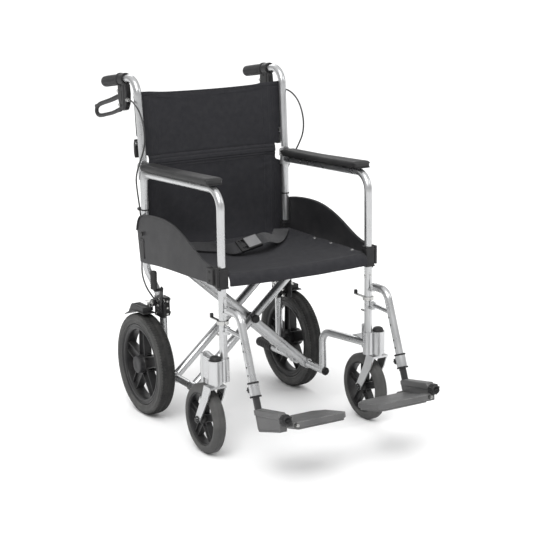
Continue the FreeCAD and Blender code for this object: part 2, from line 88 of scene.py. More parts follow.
def makeCamera(setup):
    back = Vector(setup["back"]).normalized()
    right = Vector((0, 0, 1)).cross(back).normalized()
    upward = back.cross(right)
    roll = math.radians(setup["roll"])
    across = right * math.cos(roll) + upward * math.sin(roll)
    upward = upward * math.cos(roll) - right * math.sin(roll)
    data = bpy.data.cameras.new("camera")
    data.lens = setup["lens"]
    data.sensor_width = 36
    data.clip_start, data.clip_end = 0.1, 60
    data.dof.use_dof = False
    camera = bpy.data.objects.new("camera", data)
    turn = Matrix((across, upward, back)).transposed().to_4x4()
    camera.matrix_world = Matrix.Translation(setup["place"]) @ turn
    scene.collection.objects.link(camera)
    scene.camera = camera


makeCamera(cameraSetup)

studio = {
    "keyPlace": (-2.4, -2.6, 3.6), "keySize": 1.6, "keyPower": 45,
    "fillPlace": (3.2, -2.0, 2.6), "fillSize": 1.4, "fillPower": 18,
    "backPlace": (0.8, 3.4, 3.0), "backSize": 2.0, "backPower": 25,
    "sunFrom": (-0.35, -0.55, 1.0), "sunPower": 1.4, "sunSpread": 50,
    "horizon": 0.42, "zenith": 1.0, "backdrop": 1.0,
    "floorSize": 60, "floorColour": (0.94, 0.94, 0.94),
}


def makeLight(name, place, size, power):
    data = bpy.data.lights.new(name, "AREA")
    data.shape = "DISK"
    data.size = size
    data.energy = power
    light = bpy.data.objects.new(name, data)
    aim = Vector((0, 0, 0.45)) - Vector(place)
    light.matrix_world = Matrix.Translation(place) @ aim.to_track_quat("-Z", "Y").to_matrix().to_4x4()
    scene.collection.objects.link(light)


def makeSky(setup):
    # a white room: bright overhead and darker towards the horizon, with a plain white backdrop
    world = bpy.data.worlds.new("studio")
    scene.world = world
    world.use_nodes = True
    tree = world.node_tree
    where = tree.nodes.new("ShaderNodeTexCoord")
    parts = tree.nodes.new("ShaderNodeSeparateXYZ")
    tree.links.new(where.outputs["Generated"], parts.inputs[0])
    height = tree.nodes.new("ShaderNodeMapRange")
    height.inputs["From Min"].default_value = 0.0
    height.inputs["From Max"].default_value = 0.8
    height.inputs["To Min"].default_value = setup["horizon"]
    height.inputs["To Max"].default_value = setup["zenith"]
    tree.links.new(parts.outputs["Z"], height.inputs["Value"])
    ray = tree.nodes.new("ShaderNodeLightPath")
    choose = tree.nodes.new("ShaderNodeMix")
    tree.links.new(ray.outputs["Is Camera Ray"], choose.inputs["Factor"])
    tree.links.new(height.outputs["Result"], choose.inputs["A"])
    choose.inputs["B"].default_value = setup["backdrop"]
    tree.links.new(choose.outputs["Result"], tree.nodes["Background"].inputs["Strength"])
    tree.nodes["Background"].inputs["Color"].default_value = (1, 1, 1, 1)


def makeStudio(setup):
    for name in ("key", "fill", "back"):
        makeLight(name + "Light", setup[name + "Place"], setup[name + "Size"], setup[name + "Power"])
    data = bpy.data.lights.new("sunLight", "SUN")
    data.energy = setup["sunPower"]
    data.angle = math.radians(setup["sunSpread"])
    sun = bpy.data.objects.new("sunLight", data)
    sun.matrix_world = Vector(setup["sunFrom"]).to_track_quat("Z", "Y").to_matrix().to_4x4()
    scene.collection.objects.link(sun)
    makeSky(setup)
    bm = bmesh.new()
    bmesh.ops.create_grid(bm, x_segments=1, y_segments=1, size=setup["floorSize"] / 2)
    mesh = bpy.data.meshes.new("floor")
    bm.to_mesh(mesh)
    bm.free()
    floor = bpy.data.objects.new("floor", mesh)
    scene.collection.objects.link(floor)
    paint = bpy.data.materials.new("studioFloor")
    paint.use_nodes = True
    shader = paint.node_tree.nodes["Principled BSDF"]
    shader.inputs["Base Color"].default_value = (*setup["floorColour"], 1)
    shader.inputs["Roughness"].default_value = 0.9
    mesh.materials.append(paint)


makeStudio(studio)
scene.view_settings.view_transform = "Standard"
print("camera and studio ready")


# shared shader effects, one node group each

def newGroup(name, inputs, outputs):
    group = bpy.data.node_groups.new(name, "ShaderNodeTree")
    for label, kind, value in inputs:
        socket = group.interface.new_socket(label, in_out="INPUT", socket_type="NodeSocket" + kind)
        socket.default_value = value
    for label, kind in outputs:
        group.interface.new_socket(label, in_out="OUTPUT", socket_type="NodeSocket" + kind)
    start = group.nodes.new("NodeGroupInput")
    end = group.nodes.new("NodeGroupOutput")
    return group, start.outputs, end.inputs


def mathNode(tree, operation, first, second=None, clamp=False):
    node = tree.nodes.new("ShaderNodeMath")
    node.operation = operation
    node.use_clamp = clamp
    for socket, value in zip(node.inputs, (first, second)):
        if value is None:
            continue
        if isinstance(value, (int, float)):
            socket.default_value = value
        else:
            tree.links.new(value, socket)
    return node.outputs[0]


def noiseNode(tree, vector, scale, detail=4.0, roughness=0.55):
    node = tree.nodes.new("ShaderNodeTexNoise")
    node.inputs["Detail"].default_value = detail
    node.inputs["Roughness"].default_value = roughness
    tree.links.new(vector, node.inputs["Vector"])
    if isinstance(scale, (int, float)):
        node.inputs["Scale"].default_value = scale
    else:
        tree.links.new(scale, node.inputs["Scale"])
    return node.outputs["Fac"]


def makeGrainGroup():
    group, given, out = newGroup(
        "mouldedGrain",
        [("Scale", "Float", 900.0), ("Broad Scale", "Float", 18.0)],
        [("Height", "Float"), ("Broad", "Float")])
    where = group.nodes.new("ShaderNodeTexCoord").outputs["Object"]
    group.links.new(noiseNode(group, where, given["Scale"], 2.0), out["Height"])
    group.links.new(noiseNode(group, where, given["Broad Scale"], 5.0), out["Broad"])
    return group


def makeToneGroup():
    group, given, out = newGroup(
        "toneDrift",
        [("Colour A", "Color", (0.1, 0.1, 0.1, 1)), ("Colour B", "Color", (0.2, 0.2, 0.2, 1)),
         ("Mask", "Float", 0.5), ("Low", "Float", 0.35), ("High", "Float", 0.65)],
        [("Colour", "Color"), ("Share", "Float")])
    spread = group.nodes.new("ShaderNodeMapRange")
    group.links.new(given["Mask"], spread.inputs["Value"])
    group.links.new(given["Low"], spread.inputs["From Min"])
    group.links.new(given["High"], spread.inputs["From Max"])
    mix = group.nodes.new("ShaderNodeMix")
    mix.data_type = "RGBA"
    group.links.new(spread.outputs["Result"], mix.inputs["Factor"])
    group.links.new(given["Colour A"], mix.inputs["A"])
    group.links.new(given["Colour B"], mix.inputs["B"])
    group.links.new(mix.outputs["Result"], out["Colour"])
    group.links.new(spread.outputs["Result"], out["Share"])
    return group


def makeWearGroup():
    group, given, out = newGroup(
        "edgeWear",
        [("Width", "Float", 0.0012), ("Amount", "Float", 1.0), ("Patch Scale", "Float", 120.0)],
        [("Mask", "Float")])
    bevel = group.nodes.new("ShaderNodeBevel")
    bevel.samples = 4
    group.links.new(given["Width"], bevel.inputs["Radius"])
    face = group.nodes.new("ShaderNodeNewGeometry")
    dot = group.nodes.new("ShaderNodeVectorMath")
    dot.operation = "DOT_PRODUCT"
    group.links.new(bevel.outputs["Normal"], dot.inputs[0])
    group.links.new(face.outputs["Normal"], dot.inputs[1])
    edge = mathNode(group, "SUBTRACT", 1.0, dot.outputs["Value"], True)
    where = group.nodes.new("ShaderNodeTexCoord").outputs["Object"]
    patch = mathNode(group, "SUBTRACT", noiseNode(group, where, given["Patch Scale"]), 0.42, True)
    worn = mathNode(group, "MULTIPLY", edge, mathNode(group, "MULTIPLY", patch, 40.0))
    group.links.new(mathNode(group, "MULTIPLY", worn, given["Amount"], True), out["Mask"])
    return group


def makeWeaveGroup():
    group, given, out = newGroup(
        "clothWeave",
        [("Threads", "Float", 900.0), ("Ribs", "Float", 0.0)],
        [("Height", "Float"), ("Shade", "Float")])
    flat = group.nodes.new("ShaderNodeTexCoord").outputs["UV"]
    scaled = group.nodes.new("ShaderNodeVectorMath")
    scaled.operation = "SCALE"
    group.links.new(flat, scaled.inputs[0])
    group.links.new(given["Threads"], scaled.inputs["Scale"])
    parts = group.nodes.new("ShaderNodeSeparateXYZ")
    group.links.new(scaled.outputs["Vector"], parts.inputs[0])
    rows = []
    for axis in ("X", "Y"):
        turn = mathNode(group, "MULTIPLY", parts.outputs[axis], math.pi)
        rows.append(mathNode(group, "ABSOLUTE", mathNode(group, "SINE", turn)))
    check = group.nodes.new("ShaderNodeTexChecker")
    check.inputs["Scale"].default_value = 1.0
    group.links.new(scaled.outputs["Vector"], check.inputs["Vector"])
    over = mathNode(group, "MULTIPLY", rows[0], check.outputs["Fac"])
    under = mathNode(group, "MULTIPLY", rows[1], mathNode(group, "SUBTRACT", 1.0, check.outputs["Fac"]))
    plain = mathNode(group, "MAXIMUM", over, under)
    ribbed = mathNode(group, "MULTIPLY", rows[0], given["Ribs"])
    group.links.new(mathNode(group, "ADD", plain, ribbed), out["Height"])
    # Shade is highest on the thread crowns and lowest in the gaps between threads, and drives painted shade
    # in the cloth's colour
    group.links.new(plain, out["Shade"])
    return group


def makeDustGroup():
    group, given, out = newGroup(
        "settledDust",
        [("Amount", "Float", 0.3), ("Scale", "Float", 30.0)],
        [("Mask", "Float")])
    where = group.nodes.new("ShaderNodeTexCoord").outputs["Object"]
    cloud = noiseNode(group, where, given["Scale"], 6.0, 0.6)
    face = group.nodes.new("ShaderNodeNewGeometry")
    parts = group.nodes.new("ShaderNodeSeparateXYZ")
    group.links.new(face.outputs["Normal"], parts.inputs[0])
    upFace = mathNode(group, "ADD", mathNode(group, "MULTIPLY", parts.outputs["Z"], 0.35), 0.5, True)
    spots = mathNode(group, "MULTIPLY", mathNode(group, "SUBTRACT", cloud, 0.35, True), 2.4)
    dusted = mathNode(group, "MULTIPLY", spots, upFace)
    group.links.new(mathNode(group, "MULTIPLY", dusted, given["Amount"], True), out["Mask"])
    return group


grainGroup = makeGrainGroup()
toneGroup = makeToneGroup()
wearGroup = makeWearGroup()
weaveGroup = makeWeaveGroup()
dustGroup = makeDustGroup()


class Finish:
    def __init__(self, name, **constants):
        self.material = bpy.data.materials.new(name)
        self.material.use_nodes = True
        self.tree = self.material.node_tree
        self.shader = self.tree.nodes["Principled BSDF"]
        for label, value in constants.items():
            self.shader.inputs[label.replace("_", " ")].default_value = value

    def group(self, group, **values):
        node = self.tree.nodes.new("ShaderNodeGroup")
        node.node_tree = group
        for label, value in values.items():
            socket = node.inputs[label.replace("_", " ")]
            if isinstance(value, bpy.types.NodeSocket):
                self.tree.links.new(value, socket)
            else:
                socket.default_value = value
        return node.outputs

    def link(self, output, label):
        self.tree.links.new(output, self.shader.inputs[label])

    def bump(self, height, strength, distance, under=None):
        node = self.tree.nodes.new("ShaderNodeBump")
        node.inputs["Strength"].default_value = strength
        node.inputs["Distance"].default_value = distance
        self.tree.links.new(height, node.inputs["Height"])
        if under is not None:
            self.tree.links.new(under, node.inputs["Normal"])
        return node.outputs["Normal"]

    def span(self, value, low, high):
        node = self.tree.nodes.new("ShaderNodeMapRange")
        node.inputs["From Min"].default_value = 0.3
        node.inputs["From Max"].default_value = 0.7
        node.inputs["To Min"].default_value = low
        node.inputs["To Max"].default_value = high
        self.tree.links.new(value, node.inputs["Value"])
        return node.outputs["Result"]

    def mix(self, share, first, second):
        node = self.tree.nodes.new("ShaderNodeMix")
        node.data_type = "RGBA"
        self.tree.links.new(share, node.inputs["Factor"])
        for socket, value in ((node.inputs["A"], first), (node.inputs["B"], second)):
            if isinstance(value, bpy.types.NodeSocket):
                self.tree.links.new(value, socket)
            else:
                socket.default_value = (*value, 1)
        return node.outputs["Result"]


def hardFinish(name, dark, light, rough, grain, bumpDepth, wear=None, dust=0.0, dustColour=(0.3, 0.29, 0.27),
               **constants):
    # metal, paint and moulded plastic: drifting tone, fine grain, worn edges and a little dust
    made = Finish(name, **constants)
    texture = made.group(grainGroup, Scale=grain, Broad_Scale=14.0)
    tone = made.group(toneGroup, Colour_A=(*dark, 1), Colour_B=(*light, 1), Mask=texture["Broad"])
    colour = tone["Colour"]
    if wear is not None:
        worn = made.group(wearGroup, Width=wear["width"], Amount=wear["amount"], Patch_Scale=90.0)
        colour = made.mix(worn["Mask"], colour, wear["colour"])
    if dust:
        film = made.group(dustGroup, Amount=dust, Scale=26.0)
        colour = made.mix(film["Mask"], colour, dustColour)
    made.link(colour, "Base Color")
    made.link(made.span(texture["Broad"], *rough), "Roughness")
    made.link(made.bump(texture["Height"], 0.35, bumpDepth), "Normal")
    return made.material


def clothFinish(name, dark, light, threads, ribs, depth, **constants):
    made = Finish(name, **constants)
    texture = made.group(grainGroup, Scale=260.0, Broad_Scale=7.0)
    weave = made.group(weaveGroup, Threads=threads, Ribs=ribs)
    tone = made.group(toneGroup, Colour_A=(*dark, 1), Colour_B=(*light, 1), Mask=texture["Broad"], Low=0.3,
                      High=0.72)
    # painted shade: the cloth is darkened towards a darker copy of its colour in the gaps between the threads
    shade = made.span(weave["Shade"], 0.35, 0.0)
    colour = made.mix(shade, tone["Colour"], tuple(0.45 * c for c in dark))
    lint = made.group(dustGroup, Amount=0.10, Scale=60.0)
    made.link(made.mix(lint["Mask"], colour, (0.16, 0.16, 0.16)), "Base Color")
    made.link(made.span(texture["Broad"], 0.68, 0.84), "Roughness")
    soft = made.bump(texture["Broad"], 0.25, 0.004)
    made.link(made.bump(weave["Height"], 0.5, depth, soft), "Normal")
    return made.material


finishes = {
    "silver_paint": hardFinish(
        "silverPaint", (0.48, 0.485, 0.49), (0.55, 0.555, 0.56), (0.24, 0.34), 1500.0, 0.00006,
        Metallic=0.88, Coat_Weight=0.15, Coat_Roughness=0.15),
    "cast_alloy": hardFinish(
        "castAlloy", (0.42, 0.425, 0.43), (0.50, 0.505, 0.51), (0.36, 0.50), 700.0, 0.0003, Metallic=0.85),
    "zinc_steel": hardFinish(
        "zincSteel", (0.45, 0.45, 0.44), (0.54, 0.54, 0.53), (0.18, 0.32), 900.0, 0.00008, Metallic=1.0),
    "black_steel": hardFinish(
        "blackSteel", (0.012, 0.012, 0.013), (0.022, 0.022, 0.023), (0.30, 0.44), 900.0, 0.0002,
        wear={"width": 0.0010, "amount": 0.6, "colour": (0.20, 0.20, 0.20)},
        Specular_IOR_Level=0.28),
    "black_moulding": hardFinish(
        "blackMoulding", (0.010, 0.010, 0.011), (0.017, 0.017, 0.018), (0.38, 0.52), 1400.0, 0.00025,
        wear={"width": 0.0012, "amount": 0.5, "colour": (0.09, 0.09, 0.09)}, dust=0.06,
        Specular_IOR_Level=0.28),
    "black_panel": hardFinish(
        "guardPanel", (0.017, 0.017, 0.019), (0.024, 0.024, 0.026), (0.42, 0.55), 1100.0, 0.00035,
        wear={"width": 0.0016, "amount": 0.5, "colour": (0.20, 0.20, 0.20)}, dust=0.08,
        Specular_IOR_Level=0.28),
    "footplate_moulding": hardFinish(
        "footplateMoulding", (0.066, 0.066, 0.067), (0.095, 0.095, 0.096), (0.36, 0.52), 800.0, 0.0003,
        wear={"width": 0.0018, "amount": 0.8, "colour": (0.22, 0.22, 0.22)}, dust=0.16),
    "wheel_moulding": hardFinish(
        "wheelMoulding", (0.011, 0.011, 0.012), (0.019, 0.019, 0.020), (0.32, 0.46), 1000.0, 0.0002,
        wear={"width": 0.0012, "amount": 0.4, "colour": (0.10, 0.10, 0.10)}, dust=0.10,
        Specular_IOR_Level=0.28),
    # the rear sidewalls and the caster tyres take this lighter copy of the rubber, the rear treads a darker
    # one: the lighter sidewall tone is painted sheen
    "tyre_rubber": hardFinish(
        "tyreRubber", (0.046, 0.046, 0.046), (0.066, 0.066, 0.065), (0.50, 0.66), 600.0, 0.0004, dust=0.22,
        Specular_IOR_Level=0.28),
    "tyre_tread": hardFinish(
        "tyreTread", (0.016, 0.016, 0.016), (0.024, 0.024, 0.024), (0.66, 0.82), 600.0, 0.0005, dust=0.14,
        Specular_IOR_Level=0.28),
    "grip_rubber": hardFinish(
        "gripRubber", (0.022, 0.022, 0.023), (0.034, 0.034, 0.035), (0.50, 0.66), 900.0, 0.0004, dust=0.05,
        Specular_IOR_Level=0.28),
    "arm_foam": hardFinish(
        "armFoam", (0.018, 0.018, 0.019), (0.030, 0.030, 0.031), (0.42, 0.56), 520.0, 0.0005, dust=0.06,
        Specular_IOR_Level=0.28),
    "cable_sheath": hardFinish(
        "cableSheath", (0.010, 0.010, 0.011), (0.018, 0.018, 0.019), (0.28, 0.38), 1200.0, 0.0001,
        Coat_Weight=0.3),
    "upholstery": clothFinish(
        "nylonUpholstery", (0.017, 0.017, 0.0205), (0.024, 0.024, 0.028), 900.0, 0.2, 0.0004,
        Sheen_Weight=0.04, Sheen_Roughness=0.5, Specular_IOR_Level=0.2),
    "webbing": clothFinish(
        "beltWebbing", (0.019, 0.019, 0.021), (0.028, 0.028, 0.031), 620.0, 0.9, 0.0007,
        Sheen_Weight=0.12, Sheen_Roughness=0.5, Specular_IOR_Level=0.35),
    # light grey pressing face of the buckle, a paler copy of the black moulding: painted highlight
    "buckle_face_painted_highlight": hardFinish(
        "buckleFacePaintedHighlight", (0.16, 0.16, 0.165), (0.22, 0.22, 0.225), (0.30, 0.42), 700.0, 0.0004),
}
print("finishes ready:", len(finishes))


# modelling helpers

def cylinder(bm, start, end, radius, endRadius=None, sides=32):
    start, end = Vector(start), Vector(end)
    along = end - start
    place = Matrix.Translation((start + end) / 2) @ along.to_track_quat("Z", "Y").to_matrix().to_4x4()
    made = bmesh.ops.create_cone(
        bm, cap_ends=True, segments=sides, radius1=radius,
        radius2=radius if endRadius is None else endRadius, depth=along.length, matrix=place)
    return made["verts"]


def box(bm, low, high, turn=None):
    low, high = Vector(low), Vector(high)
    size = high - low
    place = Matrix.Translation((low + high) / 2)
    if turn is not None:
        place = place @ turn
    return bmesh.ops.create_cube(bm, size=1, matrix=place @ Matrix.Diagonal((*size, 1)))["verts"]


def plate(bm, outline, x0, x1):
    # outline is (y, z) points, and the plate reaches from x0 to x1
    face = bm.faces.new([bm.verts.new((x0, y, z)) for y, z in outline])
    made = bmesh.ops.extrude_face_region(bm, geom=[face])["geom"]
    verts = [v for v in made if isinstance(v, bmesh.types.BMVert)]
    bmesh.ops.translate(bm, vec=(x1 - x0, 0, 0), verts=verts)
    return list(face.verts) + verts


def facesOf(verts):
    return list({f for v in verts for f in v.link_faces})


def edgesOf(verts):
    return list({e for v in verts for e in v.link_edges})


def roundEdges(bm, verts, width, segments=2, angle=35, test=None):
    sharp = [
        e for e in edgesOf(verts)
        if len(e.link_faces) == 2 and e.calc_face_angle(0) > math.radians(angle) and (test is None or test(e))
    ]
    bmesh.ops.bevel(bm, geom=sharp, offset=width, segments=segments, affect="EDGES", profile=0.5, material=-1,
                    clamp_overlap=True)


def revolve(bm, profile, start, direction, steps=64, closed=False):
    # profile is (distance along the axis, radius) points
    axis = Vector(direction).normalized()
    place = Matrix.Translation(start) @ axis.to_track_quat("X", "Z").to_matrix().to_4x4()
    verts = [bm.verts.new((along, 0, radius)) for along, radius in profile]
    edges = [bm.edges.new(pair) for pair in zip(verts, verts[1:])]
    if closed:
        edges.append(bm.edges.new((verts[-1], verts[0])))
    before = set(bm.verts) - set(verts)
    bmesh.ops.spin(bm, geom=verts + edges, cent=(0, 0, 0), axis=(1, 0, 0), angle=2 * math.pi, steps=steps,
                   use_merge=True)
    made = [v for v in bm.verts if v not in before]
    bmesh.ops.remove_doubles(bm, verts=made, dist=1e-4)
    made = [v for v in bm.verts if v not in before]
    bmesh.ops.transform(bm, matrix=place, verts=made)
    return made


def repeatAround(bm, verts, centre, axis, count):
    # copies of a shape, evenly round an axis
    geom = list(verts) + edgesOf(verts) + facesOf(verts)
    bmesh.ops.spin(bm, geom=geom, cent=centre, axis=axis, angle=2 * math.pi * (count - 1) / count,
                   steps=count - 1, use_duplicate=True)


def splineMesh(points, radius, closed=False, radii=None, resolution=8, sides=6, order=3):
    data = bpy.data.curves.new("path", "CURVE")
    data.dimensions = "3D"
    data.bevel_depth = radius
    data.bevel_resolution = sides
    data.resolution_u = resolution
    data.use_fill_caps = not closed
    spline = data.splines.new("NURBS")
    spline.points.add(len(points) - 1)
    for i, point in enumerate(points):
        spline.points[i].co = (*point, 1)
        if radii:
            spline.points[i].radius = radii[i]
    spline.order_u = order
    spline.use_cyclic_u = closed
    spline.use_endpoint_u = not closed
    holder = bpy.data.objects.new("path", data)
    scene.collection.objects.link(holder)
    bpy.context.view_layer.update()
    mesh = bpy.data.meshes.new_from_object(holder.evaluated_get(bpy.context.evaluated_depsgraph_get()))
    bpy.data.objects.remove(holder)
    return mesh


def addMesh(bm, mesh):
    before = set(bm.verts)
    bm.from_mesh(mesh)
    return [v for v in bm.verts if v not in before]


def hexBolt(bm, start, direction, radius, height, washer=True):
    # hexagon head on a washer, standing on the surface at start
    start, direction = Vector(start), Vector(direction).normalized()
    foot = start
    if washer:
        cylinder(bm, start, start + direction * 1.2, radius * 1.45, sides=24)
        foot = start + direction * 1.2
    head = cylinder(bm, foot, foot + direction * height, radius, sides=6)
    roundEdges(bm, head, 0.6, 1)


def screwHead(bm, start, direction, radius, height=2.2):
    # pan head with a cross recess
    start, direction = Vector(start), Vector(direction).normalized()
    revolve(bm, [(0, radius), (height * 0.45, radius), (height * 0.85, radius * 0.75),
                 (height, radius * 0.35),
                 (height * 0.35, radius * 0.28), (height * 0.35, 0)], start, direction, steps=20)


def newObject(bm, name, inMetres=False, side=1):
    if not inMetres:
        bm.transform(toFrame)
    if side < 0:
        bmesh.ops.scale(bm, vec=(-1, 1, 1), verts=bm.verts[:])
    bmesh.ops.recalc_face_normals(bm, faces=bm.faces[:])
    mesh = bpy.data.meshes.new(name)
    bm.to_mesh(mesh)
    bm.free()
    mesh.shade_smooth()
    piece = bpy.data.objects.new(name, mesh)
    scene.collection.objects.link(piece)
    return piece


def addModifier(piece, kind, **settings):
    modifier = piece.modifiers.new(kind.lower(), kind)
    for label, value in settings.items():
        setattr(modifier, label, value)
    return modifier


def applyModifiers(piece):
    bpy.context.view_layer.update()
    mesh = bpy.data.meshes.new_from_object(piece.evaluated_get(bpy.context.evaluated_depsgraph_get()))
    piece.modifiers.clear()
    piece.data = mesh
    piece.data.shade_smooth()


def dress(piece, slot, body=None, stands=(), rounding=0.0, segments=2, angle=32, weighted=True, finish=None):
    # gives a piece its finish, rounded edges and body, and hides the CAD nodes that it stands for
    piece.data.materials.clear()
    piece.data.materials.append(finishes[finish or slot])
    if rounding:
        addModifier(piece, "BEVEL", width=rounding / 1000, segments=segments, limit_method="ANGLE",
                    angle_limit=math.radians(angle), profile=0.5, harden_normals=False)
    if weighted:
        addModifier(piece, "WEIGHTED_NORMAL", keep_sharp=True, weight=60)
    if body is not None:
        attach(piece, body)
    if stands:
        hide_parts(*stands)
    return piece


def mouldedCopy(name, newName, slot, body, rounding, segments=2, stands=True):
    # a clean copy of a CAD node, with its sharp edges rounded
    bm = bmesh.new()
    bm.from_mesh(nodes[name].data)
    bmesh.ops.remove_doubles(bm, verts=bm.verts[:], dist=2e-6)
    bmesh.ops.dissolve_limit(bm, angle_limit=math.radians(0.6), verts=bm.verts[:], edges=bm.edges[:])
    piece = newObject(bm, newName, inMetres=True)
    return dress(piece, slot, body, (name,) if stands else (), rounding, segments)


def middleOf(node):
    low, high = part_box(node)
    return toFrame.inverted() @ ((low + high) / 2)


# frame tubes keep their CAD shape and take the satin paint

for name, node in nodes.items():
    tubes = ("front_post_tube", "rear_post_tube", "lower_frame", "upper_cane", "hanger_", "brace_a",
             "brace_b")
    slot = "silver_paint" if name.startswith(tubes) else "zinc_steel"
    if node.material_slots:
        node.material_slots[0].material = finishes[slot]
    else:
        node.data.materials.append(finishes[slot])
print("frame tubes painted")


# rear wheels

rearWheel = {
    "spokes": 5, "spokeWide": 38, "spokeNarrow": 30, "spokeDeep": 24, "spokeWall": 4.5, "channel": 8,
    "treadPitch": 104, "crown": 150.6,
}


def makeTyre(side, label, size):
    centre = middleOf("rear_tyre_left")
    bm = bmesh.new()
    crown = size["crown"]
    profile = [
        (-19, 120.5), (-21.5, 122), (-23.0, 125), (-23.4, 127), (-24.6, 129), (-25, 135), (-24.4, 140.5),
        (-22.2, 145.2), (-18, 148.6), (-12, crown - 0.4), (-4.4, crown), (-3.4, crown - 1.6),
        (3.4, crown - 1.6),
        (4.4, crown), (12, crown - 0.4), (18, 148.6), (22.2, 145.2), (24.4, 140.5), (25, 135), (24.6, 129),
        (23.4, 127), (23.0, 125), (21.5, 122), (19, 120.5),
    ]
    revolve(bm, profile, centre, (1, 0, 0), 96, closed=True)
    for across, radius, lean, wide in ((-8.5, 151.0, 28, 8), (8.5, 151.0, -28, 8), (-17, 149.6, -20, 6.5),
                                       (17, 149.6, 20, 6.5)):
        tilt = math.radians(4 if abs(across) < 10 else 24) * (1 if across > 0 else -1)
        turn = Matrix.Rotation(tilt, 4, "Y") @ Matrix.Rotation(math.radians(lean), 4, "Z")
        lug = box(bm, (across - wide / 2, -1.5, radius - 1.5), (across + wide / 2, 1.5, radius + 0.5), turn)
        bmesh.ops.translate(bm, vec=centre, verts=lug)
        repeatAround(bm, lug, centre, (1, 0, 0), size["treadPitch"])
    for radius, across in ((146.4, 21.6), (142.2, 24.1), (131.5, 25.1), (126.8, 23.5)):     # sidewall rings
        for out in (-1, 1):
            revolve(bm, [(out * (across - 0.8), radius - 0.8), (out * (across + 0.5), radius - 0.3),
                         (out * (across + 0.5), radius + 0.3), (out * (across - 0.8), radius + 0.8)], centre,
                    (1, 0, 0), 96, closed=True)
    piece = newObject(bm, "tyre_" + label, side=side)
    dress(piece, "tyre_rubber", "drive_wheel_" + label, ("rear_tyre_" + label,))
    # the tread faces take the darker copy of the rubber; the lighter sidewall colour is painted sheen
    piece.data.materials.append(finishes["tyre_tread"])
    middle = inFrame((side * centre.x, centre.y, centre.z))
    for face in piece.data.polygons:
        out = face.center - middle
        if math.hypot(out.y, out.z) > 0.1478:
            face.material_index = 1


def spokedWheel(bm, centre, size, hubRadius, rimRadius):
    deep = size["spokeDeep"] / 2
    wide, narrow = size["spokeWide"] / 2, size["spokeNarrow"] / 2
    arm = plate(bm, [(-wide, hubRadius - 8), (wide, hubRadius - 8), (narrow, rimRadius + 2),
                     (-narrow, rimRadius + 2)], -deep, deep)
    bmesh.ops.recalc_face_normals(bm, faces=bm.faces[:])
    flat = [f for f in facesOf(arm) if abs(f.calc_center_median().x) > deep - 0.1]
    for face in flat:
        bmesh.ops.inset_region(bm, faces=[face], thickness=size["spokeWall"], depth=0)
        bmesh.ops.inset_region(bm, faces=[face], thickness=1.2, depth=-size["channel"])
    bmesh.ops.translate(bm, vec=centre, verts=bm.verts[:])
    roundEdges(bm, bm.verts[:], 0.9, 2, 40)
    repeatAround(bm, bm.verts[:], centre, (1, 0, 0), size["spokes"])


def makeRearWheel(side, label, size):
    centre = middleOf("rear_wheel_left")
    centre.x = middleOf("rear_tyre_left").x
    bm = bmesh.new()
    spokedWheel(bm, centre, size, 27, 103)
    rim = [
        (-20.5, 121.5), (-20.5, 118), (-18, 116.5), (-17.4, 112), (-19, 110.5), (-18.4, 105.6), (-14, 102.4),
        (0, 101.6), (14, 102.4), (18.4, 105.6), (19, 110.5), (17.4, 112), (18, 116.5), (20.5, 118),
        (20.5, 121.5),
    ]
    revolve(bm, rim, centre, (1, 0, 0), 96, closed=True)
    hub = [
        (-26, 6.4), (-26, 17), (-24, 19), (-18, 19.5), (-14, 27), (12, 28), (15, 27), (18, 25.5),
        (27.4, 25.5), (27.4, 12), (26.4, 6.4),
    ]
    revolve(bm, hub, centre, (1, 0, 0), 48, closed=True)
    web = box(bm, (-7, -2, 24), (7, 2, 40))
    turn = Matrix.Rotation(math.radians(36), 4, "X")
    bmesh.ops.transform(bm, matrix=Matrix.Translation(centre) @ turn, verts=web)
    repeatAround(bm, web, centre, (1, 0, 0), 5)
    piece = newObject(bm, "wheel_" + label, side=side)
    dress(piece, "wheel_moulding", "drive_wheel_" + label, ("rear_wheel_" + label,))
    bm = bmesh.new()        # dust cap over the axle bolt
    outer = centre + Vector((27.4, 0, 0))
    revolve(bm, [(-9, 26.2), (0.2, 26.2), (2.2, 25.2), (3.0, 23.4), (3.2, 12), (2.6, 10.5), (2.6, 0)], outer,
            (1, 0, 0), 48)
    piece = newObject(bm, "hubCap_" + label, side=side)
    dress(piece, "black_panel", "drive_wheel_" + label)


def makeAxle(side, label):
    centre = middleOf("rear_wheel_left")
    inner, outer = 176, 278.6
    bm = bmesh.new()
    cylinder(bm, (inner, centre.y, centre.z), (outer, centre.y, centre.z), 6, sides=24)
    hexBolt(bm, (184, centre.y, centre.z), (-1, 0, 0), 9.5, 6)
    for z in (308, 336):
        hexBolt(bm, (184, 262, z), (-1, 0, 0), 5.4, 4)
    piece = newObject(bm, "axleBolt_" + label, side=side)
    dress(piece, "zinc_steel", "side_frame_" + label, ("rear_axle_" + label,), 0.3)


# front casters

casterWheel = {"spokes": 5, "spokeWide": 23, "spokeNarrow": 19, "spokeDeep": 18, "spokeWall": 3.6,
               "channel": 6}


